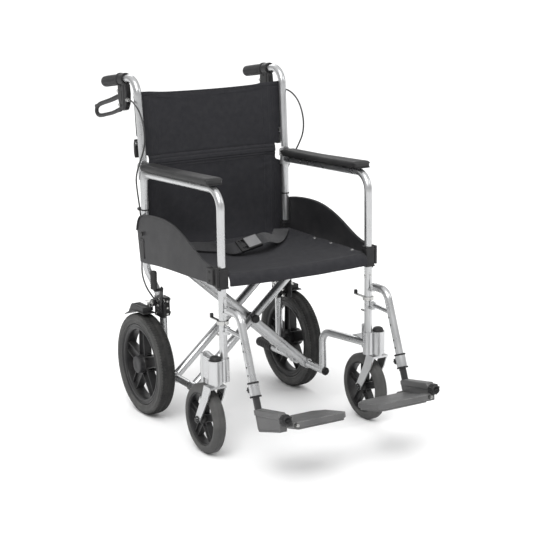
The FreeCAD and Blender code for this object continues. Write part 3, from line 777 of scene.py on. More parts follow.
def makeCaster(side, label, size):
    body = "caster_roller_" + label
    centre = middleOf("caster_wheel_left")
    bm = bmesh.new()
    spokedWheel(bm, centre, size, 18, 70)
    rim = [(-13.5, 74.5), (-14.5, 71), (-12, 69), (0, 68.4), (12, 69), (14.5, 71), (13.5, 74.5)]
    revolve(bm, rim, centre, (1, 0, 0), 80, closed=True)
    hub = [(-18, 4.2), (-18, 9), (-16.5, 10.5), (-12, 11), (-9, 17), (9, 17), (12, 11), (16.5, 10.5), (18, 9),
           (18, 4.2)]
    revolve(bm, hub, centre, (1, 0, 0), 40, closed=True)
    piece = newObject(bm, "casterWheel_" + label, side=side)
    dress(piece, "wheel_moulding", body, ("caster_wheel_" + label,))
    bm = bmesh.new()
    profile = [
        (-13, 73.5), (-15.4, 73.6), (-16.6, 75), (-17.5, 80), (-17.3, 84), (-15.6, 89), (-12.6, 93.2),
        (-8, 96.4),
        (-3, 97.8), (3, 97.8), (8, 96.4), (12.6, 93.2), (15.6, 89), (17.3, 84), (17.5, 80), (16.6, 75),
        (15.4, 73.6), (13, 73.5),
    ]
    revolve(bm, profile, centre, (1, 0, 0), 96, closed=True)
    for across in (-6.5, 6.5):      # two fine ribs round the tread
        revolve(bm, [(across - 1.1, 96.2), (across - 0.7, 97.7), (across + 0.7, 97.7), (across + 1.1, 96.2)],
                centre, (1, 0, 0), 80, closed=True)
    piece = newObject(bm, "casterTyre_" + label, side=side)
    dress(piece, "tyre_rubber", body)


def makeFork(side, label):
    swivel = "caster_swivel_" + label
    mouldedCopy("caster_fork_" + label, "fork_" + label, "silver_paint", swivel, 1.2, 3)
    bm = bmesh.new()
    axle = middleOf("caster_wheel_left")
    for out in (-1, 1):
        foot = Vector((axle.x + out * 25, axle.y, axle.z))
        hexBolt(bm, foot, (out, 0, 0), 7.8, 5.0)
    cylinder(bm, (axle.x, casterBarrel[1], 202.2), (axle.x, casterBarrel[1], 199.6), 9, 7, 6)
    piece = newObject(bm, "forkBolts_" + label, side=side)
    dress(piece, "black_steel", swivel, (), 0.3)


for label, side in sides.items():
    makeTyre(side, label, rearWheel)
    makeRearWheel(side, label, rearWheel)
    makeAxle(side, label)
    makeCaster(side, label, casterWheel)
    makeFork(side, label)
print("wheels and casters built")


# side frame mouldings

saddle = {"wide": 25, "low": 468, "high": 530, "outer": 248.4, "screwRadius": 3.6}


def makeSaddles(side, label, size):
    bm = bmesh.new()
    for (x, y), toward in ((frontPost, 1), (rearPost, -1)):
        block = box(bm, (x - 13.8, y - 12.4, size["low"] + 4), (x + 13.8, y + 12.4, size["high"]))
        roundEdges(bm, block, 2.6, 3)
        low, high = sorted((y + 11 * toward, y + 33.6 * toward))
        cup = box(bm, (208.5, low, 478.4), (x + 3, high, 492))
        roundEdges(bm, cup, 1.6, 2)
        for z in (size["low"] + 6, size["high"] - 9):       # clamp ribs
            rib = box(bm, (x - 14.6, y - 13.0, z - 2.2), (x + 14.4, y + 13.0, z + 2.2))
            roundEdges(bm, rib, 1.0, 2)
        lip = box(bm, (x + 2, y - 8, size["low"] - 1), (x + 12, y + 8, size["low"] + 8))
        roundEdges(bm, lip, 1.5, 2)
    piece = newObject(bm, "saddles_" + label, side=side)
    dress(piece, "black_moulding", "side_frame_" + label, ("frame_fittings_" + label,))
    bm = bmesh.new()        # outboard block that pins the guard to the front post
    pad = box(bm, (252.1, -169, 482), (262, -134, 528))
    roundEdges(bm, pad, 2.4, 3)
    rest = box(bm, (248.5, -184, 478), (256.5, -160, 531))
    roundEdges(bm, rest, 2.2, 2)
    for y, z in ((-151, 517), (-151, 493)):
        screwHead(bm, (262, y, z), (1, 0, 0), size["screwRadius"])
    button = cylinder(bm, (251.9, 272.7, 545), (256.4, 272.7, 545), 6.5, sides=24)
    roundEdges(bm, button, 1.2, 2)
    piece = newObject(bm, "guardMounts_" + label, side=side)
    dress(piece, "black_moulding", "side_frame_" + label)


def makeRailEnds(side, label):
    body = "side_frame_" + label
    bm = bmesh.new()        # plug with a cross in the front end of the lower rail
    revolve(bm, [(0, 11.9), (3.6, 11.9), (5, 10.6), (5.2, 8.6), (3.4, 8.0), (3.4, 0)],
            (lowerRail[0], 0, lowerRail[1]), (0, -1, 0), 32)
    for turn in (45, 135):
        bar = box(bm, (-8.2, -5.0, -1.1), (8.2, -3.0, 1.1))
        place = Matrix.Translation((lowerRail[0], 0, lowerRail[1]))
        bmesh.ops.transform(bm, matrix=place @ Matrix.Rotation(math.radians(turn), 4, "Y"), verts=bar)
    piece = newObject(bm, "railPlug_" + label, side=side)
    dress(piece, "black_moulding", body)
    bm = bmesh.new()        # stepped rubber tip behind the wheel
    rings = [(0, 11.6), (0, 14.6)]
    for k in range(6):
        start = 6 + 12 * k
        rings += [(start, 14.9), (start + 1.6, 13.4), (start + 4.4, 13.4), (start + 6, 14.9)]
    rings += [(80, 15), (84, 13.6), (85, 10.8), (85, 0)]
    revolve(bm, rings, (lowerRail[0], 300, lowerRail[1]), (0, 1, 0), 32)
    piece = newObject(bm, "railTip_" + label, side=side)
    dress(piece, "grip_rubber", body)
    bm = bmesh.new()        # domed cap on the caster barrel
    revolve(bm, [(-1, 16.4), (1.6, 16.4), (3.2, 15.4), (7.6, 14.2), (10.4, 11.4), (12, 7), (12.4, 0)],
            (*casterBarrel, 279.6), (0, 0, 1), 40)
    piece = newObject(bm, "barrelCap_" + label, side=side)
    dress(piece, "black_moulding", body)


guard = {
    "top": [(314, 549), (309, 578), (300, 592), (282, 598), (225, 607), (158, 611), (96, 609),
            (36, 594), (-22, 571), (-78, 543), (-118, 531), (-163, 528)],
    "low": [(299, 456), (270, 457), (220, 462), (180, 466), (105, 470), (40, 472), (-17, 474), (-60, 476),
            (-104, 478), (-140, 480), (-155, 480.5), (-166, 481)],
    "inner": 248.6, "thick": 3.0, "crown": 3.5, "columns": 56, "rows": 12, "bead": 2.1,
}


def smoothLine(points, count, order=4):
    # evenly spaced points along the NURBS line of a row of control points
    line = splineMesh(points, 0, resolution=24, order=order)
    verts = [v.co.copy() for v in line.vertices]
    reach = [0]
    for a, b in zip(verts, verts[1:]):
        reach.append(reach[-1] + (b - a).length)
    placed, k = [], 0
    for i in range(count):
        want = reach[-1] * i / (count - 1)
        while k < len(reach) - 2 and reach[k + 1] < want:
            k += 1
        share = (want - reach[k]) / max(reach[k + 1] - reach[k], 1e-9)
        placed.append(verts[k].lerp(verts[k + 1], min(share, 1)))
    return placed


def crownOf(size, y, z):
    # the panel bows outwards between its ends and its lower edge
    along = max(0.0, min(1.0, (y + 160) / 470))
    return size["crown"] * math.sin(math.pi * along) * math.sin(math.pi * min(1.0, max(0.0, (z - 455) / 160)))


def makeGuard(side, label, size):
    body = "side_frame_" + label
    top = smoothLine([(0, y, z) for y, z in size["top"]], size["columns"])
    low = smoothLine([(0, y, z) for y, z in size["low"]], size["columns"])
    bm = bmesh.new()
    rims = []
    for line in (top, low):
        verts = [bm.verts.new((size["inner"], p.y, p.z)) for p in line]
        rims.append([bm.edges.new(pair) for pair in zip(verts, verts[1:])])
    bmesh.ops.bridge_loops(bm, edges=rims[0] + rims[1])
    uprights = [e for e in bm.edges if e not in rims[0] and e not in rims[1]]
    bmesh.ops.subdivide_edges(bm, edges=uprights, cuts=size["rows"], use_grid_fill=True)
    for v in bm.verts:
        v.co.x += crownOf(size, v.co.y, v.co.z)
    bmesh.ops.recalc_face_normals(bm, faces=bm.faces[:])
    if sum(f.normal.x for f in bm.faces) < 0:
        bmesh.ops.reverse_faces(bm, faces=bm.faces[:])
    bmesh.ops.solidify(bm, geom=bm.faces[:], thickness=size["thick"])
    piece = newObject(bm, "guard_" + label, side=side)
    dress(piece, "black_panel", body, ("skirt_guard_" + label,), 0.9, 2, 50)
    rim = [(size["inner"] + size["thick"] / 2 + crownOf(size, p.y, p.z), p.y, p.z) for p in top]
    bm = bmesh.new()        # thickened rolled edge
    addMesh(bm, splineMesh(rim[::3] + rim[-1:], size["bead"], resolution=6, sides=4))
    piece = newObject(bm, "guardRim_" + label, side=side)
    dress(piece, "black_panel", body)


armPad = {"length": 407, "wide": 48, "high": 20, "middle": 58}


def makeArmPad(side, label, size):
    body = "side_frame_" + label
    fall = math.atan2(17.0, 451.5)
    z = 736 - (size["middle"] + 170.8) * math.tan(fall) + 11 / math.cos(fall) + 0.1
    place = Matrix.Translation((235.1, size["middle"], z)) @ Matrix.Rotation(-fall, 4, "X")
    half, long = size["wide"] / 2, size["length"] / 2
    bm = bmesh.new()
    pad = box(bm, (-half, -long, 3), (half, long, size["high"]))
    top = [e for e in edgesOf(pad) if all(v.co.z > 10 for v in e.verts)]
    bmesh.ops.bevel(bm, geom=top, offset=8.5, segments=5, affect="EDGES", profile=0.5, material=-1)
    corners = [e for e in bm.edges if abs(e.verts[0].co.z - e.verts[1].co.z) > 5 and
               abs(e.verts[0].co.x) > half - 1 and abs(e.verts[1].co.x) > half - 1]
    bmesh.ops.bevel(bm, geom=corners, offset=7, segments=4, affect="EDGES", profile=0.5, material=-1)
    low = [e for e in bm.edges if all(v.co.z < 3.5 for v in e.verts) and len(e.link_faces) == 2 and
           e.calc_face_angle(0) > 0.6]
    bmesh.ops.bevel(bm, geom=low, offset=2.2, segments=2, affect="EDGES", profile=0.5, material=-1)
    for k in range(1, 24):
        y = -long + size["length"] * k / 24
        bmesh.ops.bisect_plane(bm, geom=bm.verts[:] + bm.edges[:] + bm.faces[:], plane_co=(0, y, 0),
                               plane_no=(0, 1, 0))
    for v in bm.verts:      # the crown sinks a little where the forearm lies
        along = v.co.y / long
        if v.co.z > 8:
            v.co.z += 1.2 * (abs(along) ** 3) - 0.9 * math.exp(-((along - 0.15) / 0.4) ** 2)
            v.co.z -= 1.5 * (v.co.x / half) ** 2
    bm.transform(place)
    piece = newObject(bm, "armPad_" + label, side=side)
    dress(piece, "arm_foam", body, ("arm_pad_" + label,))
    bm = bmesh.new()
    base = box(bm, (-half + 3, -long - 3, 0.4), (half - 3, long - 4, 4))
    roundEdges(bm, base, 1.2, 2)
    for y in (-130, 130):
        cradle = box(bm, (-12.4, y - 16, -5), (12.4, y + 16, 1))
        roundEdges(bm, cradle, 2, 2)
    bm.transform(place)
    piece = newObject(bm, "armPadBase_" + label, side=side)
    dress(piece, "black_moulding", body)


def makeHinge(side, label):
    body = "side_frame_" + label
    mouldedCopy("back_hinge_" + label, "hinge_" + label, "cast_alloy", body, 1.0, 3)
    x, y = rearPost
    z = 739
    bm = bmesh.new()
    for out in (-1, 1):     # rivet heads of the hinge pin
        revolve(bm, [(-1, 7.2), (0.4, 7.2), (1.8, 5.6), (2.3, 0)], (x + out * 14, y, z), (out, 0, 0), 24)
    cylinder(bm, (x, y + 9, 709), (x, y + 14, 709), 3.4, sides=20)
    piece = newObject(bm, "hingePins_" + label, side=side)
    dress(piece, "zinc_steel", body, (), 0.4)
    bm = bmesh.new()        # small turning knob behind the casting
    revolve(bm, [(0, 4), (0.6, 6.4), (2.4, 7.2), (5, 7.2), (6.6, 5.8), (7, 0)], (x, y + 12.6, 709),
            (0, 1, 0), 28)
    piece = newObject(bm, "hingeKnob_" + label, side=side)
    dress(piece, "black_moulding", body)


for label, side in sides.items():
    makeSaddles(side, label, saddle)
    makeRailEnds(side, label)
    makeGuard(side, label, guard)
    makeArmPad(side, label, armPad)
    makeHinge(side, label)
print("side mouldings built")


# back canes: grips, brake levers and their housings

gripLine = {"front": (241, 405, 978.86), "fall": math.radians(8.05), "length": 111.1}


def gripPoint(y):
    return Vector((241, y, 993.7 - (y - 300.1) * math.tan(gripLine["fall"])))


def makeGrip(side, label, size):
    body = "back_cane_" + label
    along = Vector((0, math.cos(size["fall"]), -math.sin(size["fall"])))
    bm = bmesh.new()
    profile = [(-3, 11.4), (-3, 17.6), (-1.6, 19.3), (2.6, 19.5), (4.2, 18.6), (5.4, 16.2)]
    for k in range(13):         # finger ribs
        start = 9 + k * 6.6
        swell = 0.9 * math.sin(math.pi * (k + 0.5) / 13)
        profile += [(start, 15.6 + swell), (start + 1.0, 14.5 + swell), (start + 2.6, 14.5 + swell),
                    (start + 3.6, 15.6 + swell)]
    length = size["length"]
    profile += [(length - 12, 16.3), (length - 6, 16.0), (length - 2.6, 14.2), (length - 0.8, 11),
                (length, 6), (length, 0)]
    revolve(bm, profile, size["front"], along, 48)
    place = Matrix.Translation(size["front"]) @ along.to_track_quat("X", "Z").to_matrix().to_4x4()
    for k in range(10):         # long raised pads round the finger ribs
        before = set(bm.verts)
        pad = box(bm, (14, -1.6, 14.2), (94, 1.6, 16.3))
        roundEdges(bm, pad, 0.7, 2)
        made = [v for v in bm.verts if v not in before]
        bmesh.ops.transform(bm, matrix=place @ Matrix.Rotation(math.radians(36 * k), 4, "X"), verts=made)
    piece = newObject(bm, "grip_" + label, side=side)
    dress(piece, "grip_rubber", body, ("push_grip_" + label,))


leverHousing = {
    "outline": [(374, 984), (404, 979), (414, 962), (415, 925), (403, 896), (384, 889), (372, 900),
                (370, 950)],
    "lobe": [(372, 978), (361, 966), (357, 940), (360, 912), (372, 893), (382, 892), (380, 976)],
    "inner": 229.8, "outer": 249.2,
}


def makeLeverHousing(side, label, size):
    body = "back_cane_" + label
    bm = bmesh.new()
    main = plate(bm, size["outline"], size["inner"], size["outer"])
    roundEdges(bm, main, 4.2, 4, 20)
    lobe = plate(bm, size["lobe"], size["inner"] + 1.6, size["outer"] - 1.6)
    roundEdges(bm, lobe, 3.6, 4, 20)
    revolve(bm, [(0, 11.2), (0, 15.4), (1.6, 17), (30, 17), (31.6, 15.4), (31.6, 11.2)], gripPoint(368.5),
            (0, math.cos(gripLine["fall"]), -math.sin(gripLine["fall"])), 40, closed=True)
    for z in (962, 905):
        screwHead(bm, (size["outer"] - 0.4, 392, z), (1, 0, 0), 4.0)
        screwHead(bm, (size["inner"] + 0.4, 392, z), (-1, 0, 0), 4.0)
    rib = box(bm, (size["outer"] - 1, 386, 918), (size["outer"] + 0.8, 400, 948))
    roundEdges(bm, rib, 0.7, 2)
    piece = newObject(bm, "leverHousing_" + label, side=side)
    dress(piece, "black_moulding", body, ("lever_housing_" + label,))
    bm = bmesh.new()        # cable adjuster and the lever's pins
    revolve(bm, [(0, 2.6), (0, 4.4), (3, 4.6), (3.4, 3.6), (9, 3.6), (9.6, 5.4), (13, 5.4), (13.6, 4.2),
                 (17, 4.2), (17.6, 2.6)], (245, 343.6, 924), (0, 1, 0), 24, closed=True)
    nut = cylinder(bm, (245, 353.6, 924), (245, 357.2, 924), 6.4, sides=6)
    roundEdges(bm, nut, 0.5, 1)
    for y, z, reach in ((405, 905, 10.4), (413, 945, 9.9)):
        cylinder(bm, (239.5 - reach, y, z), (239.5 + reach, y, z), 3, sides=20)
        for out in (-1, 1):
            revolve(bm, [(-0.5, 4.4), (0.7, 4.4), (1.5, 3.2), (1.7, 0)], (239.5 + out * reach, y, z),
                    (out, 0, 0), 20)
    piece = newObject(bm, "leverPins_" + label, side=side)
    dress(piece, "zinc_steel", body)


loopLever = {
    "path": [(405, 905), (407, 927), (425, 929), (470, 914), (530, 900), (572, 890), (590, 876), (588, 860),
             (566, 855), (520, 865), (470, 874), (432, 887), (410, 891)],
    "radii": [1.3, 1.25, 1.15, 1.1, 1.0, 1.05, 1.1, 1.15, 0.95, 0.85, 0.85, 0.95, 1.2],
    "thick": 6.6, "flat": 0.76,
}


def makeLoopLever(side, label, size):
    body = "loop_lever_" + label
    bm = bmesh.new()
    path = [(0, y, z) for y, z in size["path"]]
    loop = addMesh(bm, splineMesh(path, size["thick"], True, size["radii"], 6, 5, 4))
    bmesh.ops.scale(bm, vec=(size["flat"], 1, 1), verts=loop)
    revolve(bm, [(-5.1, 3.1), (-5.1, 8.4), (-4.2, 9.4), (4.2, 9.4), (5.1, 8.4), (5.1, 3.1)], (0, 405, 905),
            (1, 0, 0), 32, closed=True)
    tip = bmesh.ops.create_uvsphere(bm, u_segments=20, v_segments=12, radius=7.4)["verts"]
    bmesh.ops.scale(bm, vec=(0.68, 1.2, 1), verts=tip)
    bmesh.ops.translate(bm, vec=(0, 588, 882), verts=tip)
    bmesh.ops.translate(bm, vec=(239.5, 0, 0), verts=bm.verts[:])
    piece = newObject(bm, "loopLever_" + label, side=side)
    dress(piece, "black_moulding", body, ("brake_lever_" + label,))


def makeReleaseLever(side, label):
    body = "back_release_" + label
    x, y, z = rearPost[0], 305, 804
    bm = bmesh.new()
    pad = plate(bm, [(y + 8, z + 11), (y + 15, z + 10), (y + 19.5, z - 4), (y + 19.5, z - 28),
                     (y + 15, z - 43), (y + 10, z - 44), (y + 8.5, z - 26)], x - 9, x + 9)
    roundEdges(bm, pad, 3.0, 4, 20)
    for inner, outer in ((x - 9, x - 6), (x + 6, x + 9)):
        ear = plate(bm, [(y - 5, z - 3), (y - 3, z + 5), (y + 12, z + 8), (y + 12, z - 14),
                         (y + 1, z - 6)], inner, outer)
        roundEdges(bm, ear, 0.7, 2)
    piece = newObject(bm, "releaseLever_" + label, side=side)
    dress(piece, "black_moulding", body, ("release_lever_" + label,))


# the route of the brake cable, the same as in the part's source

cable = {
    "route": [
        (245, 343, 924), (253, 318, 927), (259, 282, 922), (261, 245, 903), (262, 221, 872),
        (263, 211, 834), (264, 219, 797), (264, 242, 766), (263, 266, 736), (259, 288, 704),
        (250, 301, 666), (244, 303, 625), (241, 301, 584), (241, 300, 542), (241, 301, 500),
        (243, 300, 459), (249, 291, 423), (250, 270, 394), (243, 254, 370), (232, 247, 352),
    ],
    "radius": 2.4, "bendTop": 845, "bendFoot": 640,
}


def makeCable(side, label, size):
    route = [(side * x, y, z) for x, y, z in size["route"]]
    line = splineMesh(route, 0, resolution=10)
    bm = bmesh.new()
    addMesh(bm, splineMesh(route, size["radius"], resolution=10, sides=4))
    piece = newObject(bm, "brakeCable_" + label)
    dress(piece, "cable_sheath", None, ("brake_cable_" + label,), weighted=False)
    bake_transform(piece)
    bm = bmesh.new()        # strap that ties the cable to the post
    revolve(bm, [(-1.8, 11.1), (-1.8, 12.3), (1.8, 12.3), (1.8, 11.1)], (*rearPost, 613), (0, 0, 1), 32,
            closed=True)
    tie = box(bm, (236, 292, 608.5), (250, 307.5, 617.5))
    roundEdges(bm, tie, 2.5, 3)
    piece = newObject(bm, "cableTie_" + label, side=side)
    dress(piece, "black_moulding", "side_frame_" + label)


for label, side in sides.items():
    makeCable(side, label, cable)
    makeGrip(side, label, gripLine)
    makeLeverHousing(side, label, leverHousing)
    makeLoopLever(side, label, loopLever)
    makeReleaseLever(side, label)
print("canes, grips and brake levers built")


# legrests

hanger = {"top": (234, -264, 415), "slope": math.radians(21), "holes": (350, 330, 290, 270)}
plateSize = {
    "hinge": (209, -367, 150), "tilt": math.radians(13), "long": 159, "deep": 136, "half": 6.5, "ribs": 9,
}


def onHanger(z, size=hanger):
    x, y, top = size["top"]
    return Vector((x, y - (top - z) * math.tan(size["slope"]), z))


def makeHangerParts(side, label, size):
    body = "legrest_" + label
    down = (onHanger(200) - onHanger(300)).normalized()
    bm = bmesh.new()        # clamp band
    revolve(bm, [(0, 11.2), (0, 13.6), (1, 14.4), (31, 14.4), (32, 13.6), (32, 11.2)], onHanger(249.4),
            down, 40, closed=True)
    flange = box(bm, (-3, -2, 3), (3, 9, 29))
    roundEdges(bm, flange, 1.0, 2)
    place = Matrix.Translation(onHanger(249.4)) @ down.to_track_quat("Z", "Y").to_matrix().to_4x4()
    turned = [v for v in bm.verts if abs(v.co.x) < 3.2 and abs(v.co.y) < 10 and v.co.z < 40]
    bmesh.ops.transform(bm, matrix=place @ Matrix.Translation((0, -15, 0)), verts=turned)
    piece = newObject(bm, "collarBand_" + label, side=side)
    dress(piece, "silver_paint", body, ("hanger_collar_" + label,))
    bm = bmesh.new()        # black end rings, hand knob and screw
    for z in (253.4, 219.4):
        revolve(bm, [(0, 11.1), (0, 15), (0.8, 15.9), (4, 15.9), (4.8, 15), (4.8, 11.1)], onHanger(z),
                down, 40, closed=True)
    out = Vector((0, math.cos(size["slope"]), -math.sin(size["slope"])))
    root = onHanger(236)
    revolve(bm, [(12, 0), (12, 4.6), (16, 4.6), (16.6, 7.4), (18, 8.6), (25, 8.6), (27, 7.2),
                 (27.6, 0)], root, out, 24)
    for k in range(8):
        turn = Matrix.Rotation(math.radians(45 * k), 4, "X")
        grip = cylinder(bm, (18, 0, 8.2), (25.6, 0, 8.2), 1.7, sides=10)
        place = Matrix.Translation(root) @ out.to_track_quat("X", "Z").to_matrix().to_4x4() @ turn
        bmesh.ops.transform(bm, matrix=place, verts=grip)
    hexBolt(bm, onHanger(212) + out * 9.5, out, 3.4, 5)
    piece = newObject(bm, "collarRings_" + label, side=side)
    dress(piece, "black_moulding", body)
    bm = bmesh.new()        # spring buttons of the height holes, on both faces of the tube
    for z in size["holes"]:
        for across in (-1, 1):
            middle = onHanger(z) + Vector((across * 9.6, 0, 0))
            revolve(bm, [(0, 2.9), (1.5, 2.9), (1.9, 1.9), (2.0, 0)], middle, (across, 0, 0), 16)
    piece = newObject(bm, "heightHoles_" + label, side=side)
    dress(piece, "black_steel", body)


def makeFootBracket(side, label, size):
    body = "height_tube_" + label
    down = (onHanger(200) - onHanger(300)).normalized()
    bm = bmesh.new()
    revolve(bm, [(0, 0), (0, 9.2), (0.4, 9.5), (172, 9.5), (172, 0)], onHanger(333), down, 40)
    piece = newObject(bm, "heightTube_" + label, side=side)
    dress(piece, "cable_sheath", body, ("foot_extension_" + label,))
    rise = math.tan(size["tilt"])
    front = -478
    bm = bmesh.new()
    outline = [(-346, 182), (-352, 185.5), (front + 12, 207), (front + 2, 200), (front + 2, 160), (-376, 132),
               (-368, 131), (-363, 137)]
    shell = plate(bm, outline, 221.5, 243)
    bmesh.ops.recalc_face_normals(bm, faces=bm.faces[:])
    for face in [f for f in facesOf(shell) if abs(f.normal.x) > 0.9]:   # shallow recess in both cheeks
        bmesh.ops.inset_region(bm, faces=[face], thickness=5, depth=0)
        bmesh.ops.inset_region(bm, faces=[face], thickness=1.4, depth=-1.8)
    roundEdges(bm, bm.verts[:], 1.7, 3, 25)
    rib = plate(bm, [(-347, 183), (-353, 187), (front + 12, 208.5), (front + 3, 201), (front + 4, 192),
                     (-349, 171)], 219.8, 244.8)
    roundEdges(bm, rib, 3.2, 4, 25)
    revolve(bm, [(0, 9.6), (0, 11.6), (2, 12.6), (14, 12.8), (14, 9.6)], onHanger(186), down, 32, closed=True)
    ear = box(bm, (203, -365.0, 140), (221, -357.5, 158))
    roundEdges(bm, ear, 2.2, 3)
    piece = newObject(bm, "footBracket_" + label, side=side)
    dress(piece, "footplate_moulding", body)
    bm = bmesh.new()        # round lock knob at the front of the bracket
    foot = Vector((232, front + 1, 193))
    revolve(bm, [(0, 0), (0, 12.6), (1.6, 14.2), (15.4, 13.8), (19.6, 11.8), (21, 9), (20.4, 8),
                 (17, 7.4), (17, 0)], foot, (0, -1, 0.16), 40)
    for k in range(8):
        around = math.radians(45 * k + 20)
        offset = Vector((math.cos(around) * 13.4, 0, math.sin(around) * 13.4))
        lobe = cylinder(bm, foot + offset + Vector((0, -2, 0.3)),
                        foot + offset + Vector((0, -16.4, 2.6)), 2.8, 2.4, 12)
        roundEdges(bm, lobe, 0.9, 2, 50)
    slotBar = box(bm, (227, front - 20, 194.6), (237, front - 15.6, 197.4))
    roundEdges(bm, slotBar, 0.6, 1)
    piece = newObject(bm, "lockKnob_" + label, side=side)
    dress(piece, "black_moulding", body)
    hx, hy, hz = size["hinge"]
    bm = bmesh.new()
    cylinder(bm, (hx, hy + 10.5, hz - 10.5 * rise), (hx, hy - 143, hz + 143 * rise), 4, sides=20)
    hexBolt(bm, (hx, hy + 10, hz - 10 * rise), (0, 1, -rise), 6, 3.6)
    piece = newObject(bm, "plateRod_" + label, side=side)
    dress(piece, "zinc_steel", body, (), 0.4)


def makeFootplate(side, label, size):
    body = "foot_rest_" + label
    hx, hy, hz = size["hinge"]
    long, deep, half = size["long"], size["deep"], size["half"]
    turn = Matrix.Translation((hx, hy, hz)) @ Matrix.Rotation(-size["tilt"], 4, "X")
    bm = bmesh.new()
    corners = [(-4, 0), (-4, -deep), (12 - long, -deep), (-long, 14 - deep), (-long, -28), (28 - long, 0)]
    face = bm.faces.new([bm.verts.new((x, y, -half)) for x, y in corners])
    made = bmesh.ops.extrude_face_region(bm, geom=[face])["geom"]
    bmesh.ops.translate(bm, vec=(0, 0, 2 * half),
                        verts=[v for v in made if isinstance(v, bmesh.types.BMVert)])
    uprights = [e for e in bm.edges if abs(e.verts[0].co.z - e.verts[1].co.z) > half]
    bmesh.ops.bevel(bm, geom=uprights, offset=5, segments=4, affect="EDGES", profile=0.5, material=-1)
    top = max(bm.faces, key=lambda f: f.calc_center_median().z)
    bmesh.ops.inset_region(bm, faces=[top], thickness=3.2, depth=0)
    bmesh.ops.inset_region(bm, faces=[top], thickness=1.0, depth=-1.2)
    bottom = min(bm.faces, key=lambda f: f.calc_center_median().z)
    bmesh.ops.inset_region(bm, faces=[bottom], thickness=4, depth=0)
    bmesh.ops.inset_region(bm, faces=[bottom], thickness=1.2, depth=-6.5)
    roundEdges(bm, bm.verts[:], 0.9, 2, 40)
    for k in range(size["ribs"]):       # grip ribs across the tread
        y = -16 - k * (deep - 32) / (size["ribs"] - 1)
        rib = box(bm, (18 - long, y - 1.5, half - 1.6), (-14, y + 1.5, half - 0.1))
        roundEdges(bm, rib, 0.6, 2)
    for k in range(4):                  # stiffening webs underneath
        x = -26 - k * 34
        web = box(bm, (x - 1.4, 8 - deep, -half + 0.4), (x + 1.4, -8, -half + 7.4))
        roundEdges(bm, web, 0.4, 1)
    for y0, y1 in ((-1, -40), (-deep + 40, -deep + 1)):
        revolve(bm, [(0, 4.15), (0, 7.6), (0.6, 8), (38.4, 8), (39, 7.6), (39, 4.15)], (0, max(y0, y1), 0),
                (0, -1, 0), 28, closed=True)
    neck = box(bm, (-9, 2 - deep, -5), (-1, -2, 5))
    roundEdges(bm, neck, 1.4, 2)
    bm.transform(turn)
    piece = newObject(bm, "footTread_" + label, side=side)
    dress(piece, "footplate_moulding", body, ("footplate_" + label,))


def makeLatch(side, label):
    body = "legrest_catch_" + label
    mouldedCopy("latch_lever_" + label, "latch_" + label, "zinc_steel", body, 0.5, 2)
    bm = bmesh.new()
    sleeve = box(bm, (230.4, -113, 378.6), (238.8, -103.8, 390.8))
    roundEdges(bm, sleeve, 2.2, 3)
    piece = newObject(bm, "latchTip_" + label, side=side)
    dress(piece, "black_moulding", body)
    bm = bmesh.new()        # stop pin and post screws below the latch
    cylinder(bm, (234.6, -160, 338), (234.6, -138, 338), 3.2, sides=18)
    screwHead(bm, (234.6, -182, 448), (0, -1, 0), 3.2)
    screwHead(bm, (223.8, -170.8, 446), (-1, 0, 0), 3.2)
    piece = newObject(bm, "postPins_" + label, side=side)
    dress(piece, "zinc_steel", "side_frame_" + label, (), 0.3)


for label, side in sides.items():
    makeHangerParts(side, label, hanger)
    makeFootBracket(side, label, plateSize)
    makeFootplate(side, label, plateSize)
    makeLatch(side, label)
print("legrests built")


# parking brakes

